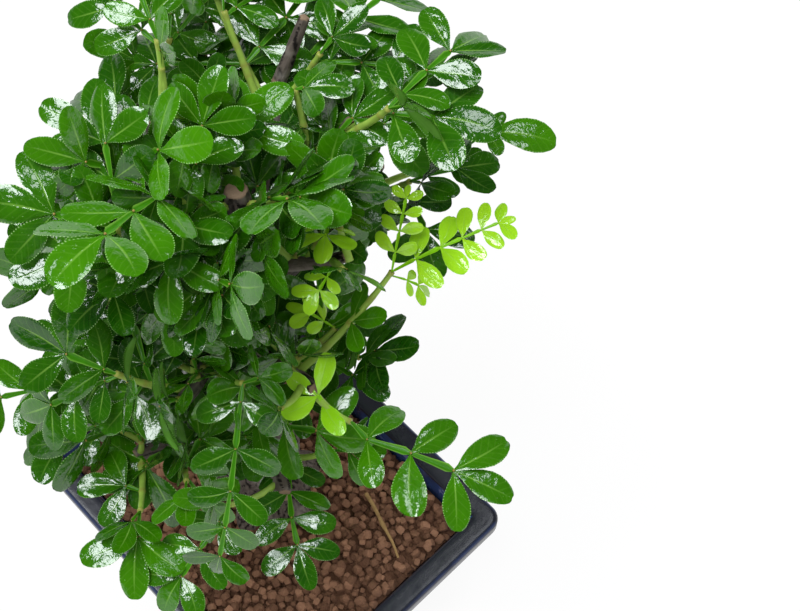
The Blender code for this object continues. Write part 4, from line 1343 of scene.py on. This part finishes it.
class Leaf:
    """One feathered leaf: pairs of leaflets along a winged midrib, and one at its end.

    Each part is the name of a shape in Blades, the matrix that seats it, and how fresh its green is."""

    spread = 64.0  # degrees between the midrib and a leaflet
    joint_size, joint_lift = 0.32, 0.15  # a joint's radius and height over the midrib, in the wing's width

    def __init__(
        self,
        settings,
        chance,
        origin,
        way,
        up,
        pairs,
        size,
        tint,
        spacing=1.0,
        stalk=1.0,
        taper=0.0,
        droop=8.0,
        turns=None,
        tip=1.06,
    ):
        self.parts = []
        self.settings, self.chance, self.tint = settings, chance, tint
        way = way.normalized()
        up = (up - way * up.dot(way)).normalized()
        side = up.cross(way)
        centre = origin
        for pair in range(pairs):
            shrink = (1 - taper) ** pair
            step = settings.stalk * stalk if pair == 0 else settings.spacing * spacing * size * shrink
            wing = settings.wing * (0.75 if pair == 0 else 1.0) * max(size * shrink, 0.5)
            self.parts.append(("wing", seat(centre, way, up, step, wing), tint))
            centre = centre + way * step
            bead = Matrix.Translation(centre + up * self.joint_lift * wing)
            self.parts.append(("joint", bead @ Matrix.Scale(self.joint_size * wing, 4), tint))
            bend = turns[min(pair, 1)] if turns else chance.uniform(-6, 6)
            way, side = turned(way, up, bend), turned(side, up, bend)
            full = (0.86 if pair == 0 and pairs > 1 else 1.0) * size * shrink
            for sign in (-1, 1):
                self.side_leaflet(centre, way, side * sign, up, self.spread + chance.uniform(-9, 7), full)
            turn = droop + chance.uniform(-4, 4)
            way, up = turned(way, side, turn), turned(up, side, turn)
        tip_up = turned(up, way, chance.uniform(-16, 16))
        self.add_leaflet(centre, way, tip_up, tip * size * (1 - taper) ** pairs)

    def side_leaflet(self, root, way, out, up, spread, size):
        """A leaflet beside the midrib, lifted and tilted a little."""
        heading = way * math.cos(math.radians(spread)) + out * math.sin(math.radians(spread))
        lift = self.chance.uniform(-10, 16)
        axis = heading.cross(up).normalized()
        heading = turned(heading, axis, lift)
        face = turned(turned(up, axis, lift), heading, self.chance.uniform(-16, 16))
        self.add_leaflet(root, heading, face, size * self.chance.uniform(0.92, 1.06))

    def add_leaflet(self, root, heading, face, size):
        """One of the leaflet shapes, of nearly the leaf's own green."""
        kind = f"leaflet_{self.chance.randrange(Blades.variants)}"
        shade = min(max(self.tint + self.chance.uniform(-0.14, 0.14), 0.0), 1.0)
        self.parts.append((kind, seat(root, heading, face, self.settings.length * size), shade))

    def points(self, share):
        """A point on each leaflet's midrib."""
        leaflets = (matrix for kind, matrix, _ in self.parts if kind.startswith("leaflet"))
        return [matrix @ Vector((share, 0, 0)) for matrix in leaflets]


class Canopy:
    """Keeps the middles of all the leaflets so far, so that new leaves can grow into the gaps.

    Leaves mind the light from above more than they mind each other's heights."""

    cell = 10 * MM
    squash = Vector((1.0, 1.0, 0.6))

    def __init__(self):
        self.cells = {}

    def flat(self, leaf):
        return [point * self.squash for point in leaf.points(0.55)]

    def key(self, point):
        return tuple(math.floor(c / self.cell) for c in point)

    def take(self, leaf):
        for point in self.flat(leaf):
            self.cells.setdefault(self.key(point), []).append(point)

    def room(self, leaf):
        """The distance from the leaf to the nearest leaflet of another, at most one cell."""
        least = self.cell
        for point in self.flat(leaf):
            x, y, z = self.key(point)
            for step in range(27):
                near = (x + step % 3 - 1, y + step // 3 % 3 - 1, z + step // 9 - 1)
                for other in self.cells.get(near, ()):
                    least = min(least, (other - point).length)
        return least


class Stem:
    """A green shoot: a line of points that arches up, with its heading at each."""

    steps = 10
    sides = 8
    tip_share = 0.65  # the tip's radius, in the foot's
    sunk = 1.5 * MM  # how deep its foot goes into the wood
    knot_reach, knot_height = 1.4 * MM, 0.2 * MM  # the swelling at each leaf
    knot_brown = 0.55

    def __init__(self, name, start, way, length, bend=0.0, arch=SHOOT_ARCH, radius=1.3 * MM):
        self.name, self.length = name, length
        self.base_radius, self.tip_radius = radius, self.tip_share * radius
        level = way.cross(UP).normalized()
        heading, point = way.normalized(), start
        self.line = [(point, heading)]
        for _ in range(self.steps):
            turn = Quaternion(UP, math.radians(bend) / self.steps)
            level = turn @ level
            heading = Quaternion(level, arch / self.steps) @ turn @ heading
            point = point + heading * length / self.steps
            self.line.append((point, heading))

    def at(self, share):
        """The point at a share of the stem's length, and the heading there."""
        place = share * self.steps
        low = min(int(place), self.steps - 1)
        (here, heading), (there, _) = self.line[low], self.line[low + 1]
        return here.lerp(there, place - low), heading

    def grow(self, bm, nodes):
        """Adds the stem's tube, thicker and browner at each leaf node, with its foot sunk in the wood."""
        joint = bm.verts.layers.float["joint"]
        known = len(bm.faces)
        first, heading = self.line[0]
        path = [first - heading * self.sunk]
        radii, marks = [self.base_radius], [0.0]
        stretches = 3 * self.steps
        for i in range(stretches + 1):
            share = i / stretches
            path.append(self.at(share)[0])
            near = min((abs(share - place) for place in nodes), default=1.0)
            knot = max(0.0, 1 - near * self.length / self.knot_reach)
            plain = self.base_radius + (self.tip_radius - self.base_radius) * share
            radii.append(plain + self.knot_height * knot)
            marks.append(self.knot_brown * knot)
        start = len(bm.verts)
        grow_rings(bm, tube_rings(path, radii, self.sides))
        bm.verts.ensure_lookup_table()
        for i, vert in enumerate(bm.verts[start:]):
            vert[joint] = marks[i // self.sides]
        bm.faces.ensure_lookup_table()
        for face in bm.faces[known:]:
            face.material_index = 2


def seat_on_branch(name, share, way):
    """Where a shoot starts on the skin of a branch."""
    branch = branch_named(name)
    path = branch_line(branch)
    place = share * (len(path) - 1)
    low = min(int(place), len(path) - 2)
    centre = path[low].lerp(path[low + 1], place - low)
    heading = (path[low + 1] - path[low]).normalized()
    out = (way - heading * way.dot(heading)).normalized()
    return centre + out * branch_radius(branch, share)


def planned_stems():
    """The stems of all the shoots, by name; most have the name of the solid that they stand for."""
    stems = {}
    for name, carrier, share, angle, climb, length, bend in STRAY_SHOOTS + SMALL_SHOOTS:
        way = direction(angle, climb)
        stems[name] = Stem(name, seat_on_branch(carrier, share, way), way, length * MM, bend)
    for carrier, _, angle, _, rise, vigour in BRANCHES:
        for label, share, turn, climb, length, bend in SHOOTS_ON_BRANCH:
            name = f"shoot_{carrier}_{label}"
            way = direction(angle + turn, rise * 0.5 + climb)
            stems[name] = Stem(name, seat_on_branch(carrier, share, way), way, length * vigour * MM, bend)
    for name, height, angle, climb, length in SHOOTS_AT_TOP:
        centre, radius = trunk_point(height)
        out = direction(angle, 0)
        stems[name] = Stem(name, centre + out * radius, direction(angle, climb), length * MM)
    return stems


class Clearing:
    """Keeps some things in the crown open to its front, so that few leaves grow over them.

    It holds the cells in which those things are seen from the front, each with how far off they are."""

    cell = 3.5 * MM
    margin = 2 * MM  # a leaf this much nearer than a thing covers it
    front = direction(-44, 62)
    distance = VIEW_DISTANCE * MM
    viewer = VIEW_TARGET + front * distance

    def __init__(self):
        self.across = UP.cross(self.front).normalized()
        self.along = self.front.cross(self.across)
        self.cells = {}

    def key(self, point):
        """The cell that a point is seen in, and how far it is from the viewer."""
        ray = point - self.viewer
        far = -ray.dot(self.front)
        scale = self.distance / far / self.cell
        return (round(ray.dot(self.across) * scale), round(ray.dot(self.along) * scale)), far

    def keep_open(self, points, wide=True):
        """Marks the cells of some points, and where it is wide also the cells round them."""
        for point in points:
            (column, row), far = self.key(point)
            for step in range(9) if wide else (4,):
                key = column + step % 3 - 1, row + step // 3 - 1
                self.cells[key] = max(self.cells.get(key, 0.0), far)

    def covered(self, leaf):
        """How many of a leaf's points stand over something that is kept open."""
        found = 0
        for share in (0.2, 0.6, 0.95):
            for point in leaf.points(share):
                key, far = self.key(point)
                found += self.cells.get(key, 0.0) > far + self.margin
        return found


class Grower:
    """Puts leaves on stems and makes a piece of each."""

    node_spacing = 3.0 * MM
    attempts = 14
    spurs = 8  # leaves that stand on the wood of each branch
    spare = 3 * MM  # how far a leaf may reach past the box of the solid that it replaces
    least_room = 2.0 * MM
    past_cost = 2.0  # what reaching out of its box costs a leaf, in room for each length that it is out
    covered_cost = 6 * MM  # what each of its points over something that is kept open costs it
    tip_lean, tip_turn = 28, 25  # degrees that a leaf at a shoot's tip may lean and turn off its heading
    side_turn = 50  # degrees that a leaf along a shoot may stand off its place in the spiral
    side_angle = (40, 80)  # degrees between a shoot and a leaf along it
    weak = 0.7  # vigour up to which a shoot has smaller leaves with fewer leaflets
    weak_size = 0.88
    crowded_size = 0.75  # size of a leaf at a shoot's tip where there is no room for a full one
    light_side = direction(-70, 0)  # the leaves turn a little to the brighter side
    narrow_side = direction(46, 0)  # the crown is narrow on this side, most of all below its middle
    narrow_reach = ((180, 49), (205, 77))  # height and reach, below and above which the reach is the same

    def __init__(self, settings):
        self.settings = settings
        self.blades = Blades()
        self.canopy = Canopy()
        self.clearing = Clearing()
        low, high = CAD_BOX
        self.crown_axis = trunk_point(190)[0]
        self.low, self.high = Vector(low), Vector(high)

    def named_leaf(self, stem, row):
        """A leaf with a place of its own, which the leaves that come after it leave in sight."""
        _, share, angle, rise, pairs, size, spacing, stalk, taper, droop, turns, tip, tint = row
        chance = random.Random(f"{row}")
        foot, _ = stem.at(share)
        way = direction(angle, rise)
        leaf = Leaf(
            self.settings, chance, foot, way, UP, pairs, size, tint, spacing, stalk, taper, droop, turns, tip
        )
        self.canopy.take(leaf)
        self.clearing.keep_open(leaf.points(0.55))
        self.clearing.keep_open(leaf.points(0.15) + leaf.points(0.95), wide=False)
        return leaf

    def leave_open(self, stems):
        """Keeps the young shoot, the green shoot at the top and some stubs in sight."""
        young, green = stems["young_shoot_right"], stems["green_shoot_back_left"]
        self.clearing.keep_open([young.at(k / 12)[0] for k in range(4, 13)], wide=False)
        self.clearing.keep_open([green.at(k / 14)[0] for k in range(2, 15)])
        for row in STUBS:
            if row[0] in OPEN_STUBS:
                base, tip = stub_ends(row)
                points = [base.lerp(tip, k / 8) for k in range(3, 9)]
                self.clearing.keep_open(points, wide=OPEN_STUBS[row[0]])

    def overshoot(self, leaf, low, high):
        """How far a leaf reaches out of a box, or past the crown's narrow side."""
        most = 0.0
        for tip in leaf.points(1.0):
            for axis in range(3):
                most = max(most, low[axis] - tip[axis], tip[axis] - high[axis])
            (lower, near), (upper, far) = self.narrow_reach
            share = min(max((tip.z / MM - lower) / (upper - lower), 0.0), 1.0)
            reach = (near + (far - near) * share) * MM
            most = max(most, (tip - TREE_FOOT).dot(self.narrow_side) - reach)
        return most

    def best_leaf(self, chance, stem, share, turn, pairs, size, tint, low, high):
        """Tries several leaves at a place on the stem; gives the one with the most room, and that room."""
        origin, heading = stem.at(share)
        sideways = heading.orthogonal().normalized()
        outward = origin - self.crown_axis
        outward.z = 0
        outward.normalize()
        found, best = None, -1.0
        for _ in range(self.attempts):
            if share == 1.0:
                way = turned(heading, sideways, chance.uniform(-self.tip_lean, self.tip_lean))
                way = turned(way, UP, chance.uniform(-self.tip_turn, self.tip_turn))
            else:
                off_place = chance.uniform(-self.side_turn, self.side_turn)
                radial = turned(sideways, heading, math.degrees(turn) + off_place)
                spread = math.radians(chance.uniform(*self.side_angle))
                way = heading * math.cos(spread) + radial * math.sin(spread)
            way = (way + outward * 0.25 + UP * chance.uniform(-0.25, 0.15)).normalized()
            lean = UP + outward * chance.gauss(0.12, 0.15) + self.light_side * chance.gauss(0.3, 0.12)
            lean += Vector((chance.gauss(0, 0.14), chance.gauss(0, 0.14), 0))
            if lean.normalized().dot(way) > 0.9:
                lean = lean - heading
            droop = chance.uniform(2, 14)
            stalk = chance.uniform(0.5, 1.1)
            leaf = Leaf(
                self.settings, chance, origin, way, lean, pairs, size, tint, stalk=stalk, droop=droop
            )
            past = max(0.0, self.overshoot(leaf, low, high))
            worth = self.canopy.room(leaf) - self.past_cost * past
            worth -= self.covered_cost * self.clearing.covered(leaf)
            if worth > best:
                found, best = leaf, worth
        return found, best

    def leafy_piece(self, name, stems, leaves, nodes, materials, replaced=()):
        """Makes one piece of some stems, swollen at these places along them, and of their leaves."""
        bm = leaf_mesh()
        tint = bm.verts.layers.float["tint"]
        for stem in stems:
            stem.grow(bm, nodes)
        for leaf in leaves:
            for kind, matrix, shade in leaf.parts:
                start = len(bm.verts)
                bm.from_mesh(self.blades.shapes[kind])
                bm.verts.ensure_lookup_table()
                added = bm.verts[start:]
                bmesh.ops.transform(bm, matrix=matrix, verts=added)
                for vert in added:
                    vert[tint] = shade
        add_piece(name, bm, materials, replaced, sharp=None)

    def ordinary_leaves(self, stem, vigour, sparse):
        """Leaves for one stem, from its tip down, with the places where they stand."""
        chance = random.Random(stem.name)
        low, high = self.low.copy(), self.high.copy()
        if stem.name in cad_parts:
            node_low, node_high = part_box(stem.name)
            for axis in range(3):
                low[axis] = max(node_low[axis] - self.spare, low[axis])
                high[axis] = min(node_high[axis] + self.spare, high[axis])
        count = max(4, round(stem.length / self.node_spacing))
        shares = [1.0, *((k + 0.5) / count for k in range(count - 1, -1, -1))]
        if sparse is not None:
            shares = shares[:sparse]
        age = chance.uniform(0.0, 0.45)
        turn = chance.uniform(0, 2 * math.pi)
        leaves, nodes = [], []
        for share in shares:
            size = chance.uniform(0.9, 1.16) * (1.0 if vigour > self.weak else self.weak_size)
            pairs = chance.choice((1, 2, 2, 3, 3, 4) if vigour > self.weak else (1, 2))
            tint = max(0.0, age + 0.35 * share * chance.random() + chance.uniform(-0.1, 0.1))
            turn += GOLDEN_ANGLE
            leaf, room = self.best_leaf(chance, stem, share, turn, pairs, size, tint, low, high)
            if room < self.least_room and share == 1.0:
                size *= self.crowded_size
                leaf, _ = self.best_leaf(chance, stem, share, turn, 1, size, tint, low, high)
            elif room < self.least_room:
                continue
            self.canopy.take(leaf)
            leaves.append(leaf)
            nodes.append(share)
        return leaves, nodes

    def spur_leaves(self, branch):
        """Leaves that stand on short spurs along a branch and hide its wood."""
        name = branch[0]
        chance = random.Random(f"spurs {name}")
        line = branch_line(branch, 5)
        leaves = []
        turn = chance.uniform(0, 2 * math.pi)
        count = FEW_SPURS.get(name, self.spurs)
        for number in range(count):
            share = 0.25 + 0.75 * (number + chance.uniform(0.1, 0.9)) / count
            place = line[round(share * (len(line) - 1))]
            turn += GOLDEN_ANGLE
            way = direction(math.degrees(turn), chance.uniform(25, 75))
            spur = Stem(name, place, way, branch_radius(branch, share) + chance.uniform(1, 9) * MM)
            size = chance.uniform(0.72, 0.98)
            pairs = chance.choice((1, 2, 2, 3))
            tint = chance.uniform(0.0, 0.4)
            leaf, room = self.best_leaf(chance, spur, 1.0, turn, pairs, size, tint, self.low, self.high)
            if room < self.least_room:
                continue
            self.canopy.take(leaf)
            leaves.append((leaf, spur))
        return leaves


class BONSAI_OT_foliage(bpy.types.Operator):
    """Leafs out every shoot: the leaves with a place of their own first, then the rest round them"""

    bl_idname = "bonsai.foliage"
    bl_label = "Leafy shoots"

    def execute(self, context):
        settings = context.scene.bonsai_leaf
        stem_skin = green_skin("green_stem", settings.stem, settings.node, settings.stem, 0.0)
        green = [
            waxy_leaf("waxy_leaf", settings, settings.blade, settings.fresh_blade),
            green_skin("winged_midrib", settings.wing_colour, settings.node, settings.rib, 0.45),
            stem_skin,
        ]
        lime = [
            waxy_leaf("soft_young_leaf", settings, settings.young, settings.young_fresh),
            green_skin("young_midrib", settings.young, settings.young_fresh, settings.young_fresh, 0.4),
            stem_skin,
        ]
        grower = Grower(settings)
        stems = planned_stems()
        vigours = {f"shoot_{branch[0]}_{label}": branch[5] for branch in BRANCHES for label in "ab"}
        named = {name: [] for name in stems}
        for row in NAMED_LEAVES:
            named[row[0]].append((grower.named_leaf(stems[row[0]], row), row[1]))
        young = {name: [] for name in stems}
        for row in YOUNG_LEAVES:
            young[row[0]].append((grower.named_leaf(stems[row[0]], row), row[1]))
        grower.leave_open(stems)
        for name, stem in stems.items():
            short = name.replace("shoot_", "")
            if name.startswith("young"):
                leaves = [leaf for leaf, _ in young.pop(name)]
                grower.leafy_piece(short, [stem], leaves, [0.25, 0.5, 0.75, 1.0], lime, [name])
                continue
            vigour, sparse = vigours.get(name, 1.0), SPARSE_STEMS.get(name)
            leaves, nodes = grower.ordinary_leaves(stem, vigour, sparse)
            leaves += [leaf for leaf, _ in named[name]]
            nodes += [share for _, share in named[name]]
            solid = [name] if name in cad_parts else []
            grower.leafy_piece(f"leafy_{short}", [stem], leaves, nodes, green, solid)
        for branch in BRANCHES:
            grown = grower.spur_leaves(branch)
            leaves = [leaf for leaf, _ in grown]
            spurs = [spur for _, spur in grown]
            grower.leafy_piece(f"spurs_{branch[0]}", spurs, leaves, [1.0], green)
        for name, grown in young.items():
            if grown:
                leaves = [leaf for leaf, _ in grown]
                grower.leafy_piece(f"young_{name.replace('shoot_', '')}", [], leaves, [], lime)
        return {"FINISHED"}


# ---------------------------------------------------------------- stage
def white_board(shown=0.92):
    """Matt white board: most of it simply shows white, and the rest keeps a faint soft shadow."""
    made, tree, shader = new_material("white_board")
    shader.inputs["Base Color"].default_value = rgba(linear("#F2F2F2"))
    shader.inputs["Roughness"].default_value = 0.9
    share = node(tree, "ShaderNodeMath", {0: seen_rays(tree), 1: shown}, operation="MULTIPLY")
    glow = node(tree, "ShaderNodeEmission", {"Color": (1, 1, 1, 1), "Strength": 1.0})
    mixed = node(
        tree, "ShaderNodeMixShader", {0: share.outputs[0], 1: shader.outputs[0], 2: glow.outputs[0]}
    )
    tree.links.new(mixed.outputs[0], tree.nodes["Material Output"].inputs["Surface"])
    return made


class BONSAI_OT_stage(bpy.types.Operator):
    """Sets the white floor, the soft overhead light and the camera"""

    bl_idname = "bonsai.stage"
    bl_label = "Stage and camera"

    # name, azimuth, elevation, distance in metres, size in metres, power in watts
    lamps = [
        ("softbox_left", 216, 66, 1.3, 0.44, 8.0),
        ("softbox_front", 285, 75, 1.3, 0.44, 8.4),
        ("softbox_back", 90, 70, 1.3, 0.3, 2.0),
    ]
    lamp_colour = (0.93, 0.97, 1.0)
    lit_point = Vector((0, 0, 0.2))  # what the lamps face
    floor_reach = 25.0  # from the floor's middle to its edges, in metres
    fill = 0.76  # how strongly the world lights the object

    def execute(self, context):
        settings = context.scene.bonsai_stage
        bm = bmesh.new()
        bmesh.ops.create_grid(bm, x_segments=1, y_segments=1, size=self.floor_reach)
        mesh = bpy.data.meshes.new("floor")
        bm.to_mesh(mesh)
        bm.free()
        mesh.materials.append(white_board())
        floor = bpy.data.objects.new("floor", mesh)
        context.scene.collection.objects.link(floor)
        for name, azimuth, elevation, distance, size, power in self.lamps:
            lamp = bpy.data.lights.new(name, "AREA")
            lamp.energy, lamp.size, lamp.color = power, size, self.lamp_colour
            obj = bpy.data.objects.new(name, lamp)
            way = direction(azimuth, elevation)
            obj.location = self.lit_point + way * distance
            obj.rotation_euler = way.to_track_quat("Z", "Y").to_euler()
            context.scene.collection.objects.link(obj)
        self.world(context)
        camera = bpy.data.objects.new("camera", bpy.data.cameras.new("camera"))
        a, e = settings.azimuth, settings.elevation
        back = Vector((math.sin(a) * math.cos(e), -math.cos(a) * math.cos(e), math.sin(e)))
        camera.location = Vector(settings.target) + back * settings.distance
        camera.rotation_euler = back.to_track_quat("Z", "Y").to_euler()
        camera.data.lens = settings.lens
        camera.data.clip_start = 0.01
        context.scene.collection.objects.link(camera)
        context.scene.camera = camera
        context.scene.view_settings.view_transform = "Standard"
        return {"FINISHED"}

    def world(self, context):
        """White at the horizon and dim overhead, where the lamps hang, with an even fill on the object."""
        world = bpy.data.worlds.new("studio")
        context.scene.world = world
        world.use_nodes = True
        tree = world.node_tree
        seen = seen_rays(tree)
        way = node(tree, "ShaderNodeTexCoord").outputs["Generated"]
        height = node(tree, "ShaderNodeSeparateXYZ", {0: way}).outputs[2]
        shown = node(
            tree,
            "ShaderNodeMapRange",
            {"Value": height, "From Min": 0.16, "From Max": 0.38, "To Min": 0.97, "To Max": 0.03},
            interpolation_type="SMOOTHSTEP",
        )
        strength = node(
            tree, "ShaderNodeMix", {0: seen, 2: self.fill, 3: shown.outputs[0]}, data_type="FLOAT"
        )
        background = tree.nodes["Background"]
        background.inputs["Color"].default_value = (1, 1, 1, 1)
        tree.links.new(strength.outputs[0], background.inputs["Strength"])


# ---------------------------------------------------------------- sidebar and running
OPERATORS = [
    BONSAI_OT_pot,
    BONSAI_OT_granules,
    BONSAI_OT_small_things,
    BONSAI_OT_wood,
    BONSAI_OT_foliage,
    BONSAI_OT_stage,
]
SETTINGS = {
    "bonsai_pot": PotSettings,
    "bonsai_bed": BedSettings,
    "bonsai_wood": WoodSettings,
    "bonsai_leaf": LeafSettings,
    "bonsai_stage": StageSettings,
}


class BONSAI_PT_panel(bpy.types.Panel):
    """Lists the bonsai's settings and the operators that build it"""

    bl_idname = "BONSAI_PT_panel"
    bl_label = "Pepper tree bonsai"
    bl_space_type = "VIEW_3D"
    bl_region_type = "UI"
    bl_category = "Bonsai"

    def draw(self, context):
        for operator in OPERATORS:
            self.layout.operator(operator.bl_idname)
        for key, group in SETTINGS.items():
            box = self.layout.box()
            box.label(text=group.__name__.replace("Settings", ""))
            for name in group.__annotations__:
                box.prop(getattr(context.scene, key), name)


def register():
    for made in [*SETTINGS.values(), *OPERATORS, BONSAI_PT_panel]:
        bpy.utils.register_class(made)
    for key, group in SETTINGS.items():
        setattr(bpy.types.Scene, key, PointerProperty(type=group))


def unregister():
    for key in SETTINGS:
        delattr(bpy.types.Scene, key)
    for made in reversed([*SETTINGS.values(), *OPERATORS, BONSAI_PT_panel]):
        bpy.utils.unregister_class(made)


def main():
    register()
    bpy.ops.bonsai.pot()
    bpy.ops.bonsai.granules()
    bpy.ops.bonsai.small_things()
    bpy.ops.bonsai.wood()
    bpy.ops.bonsai.foliage()
    bpy.ops.bonsai.stage()


if __name__ == "__main__":
    main()
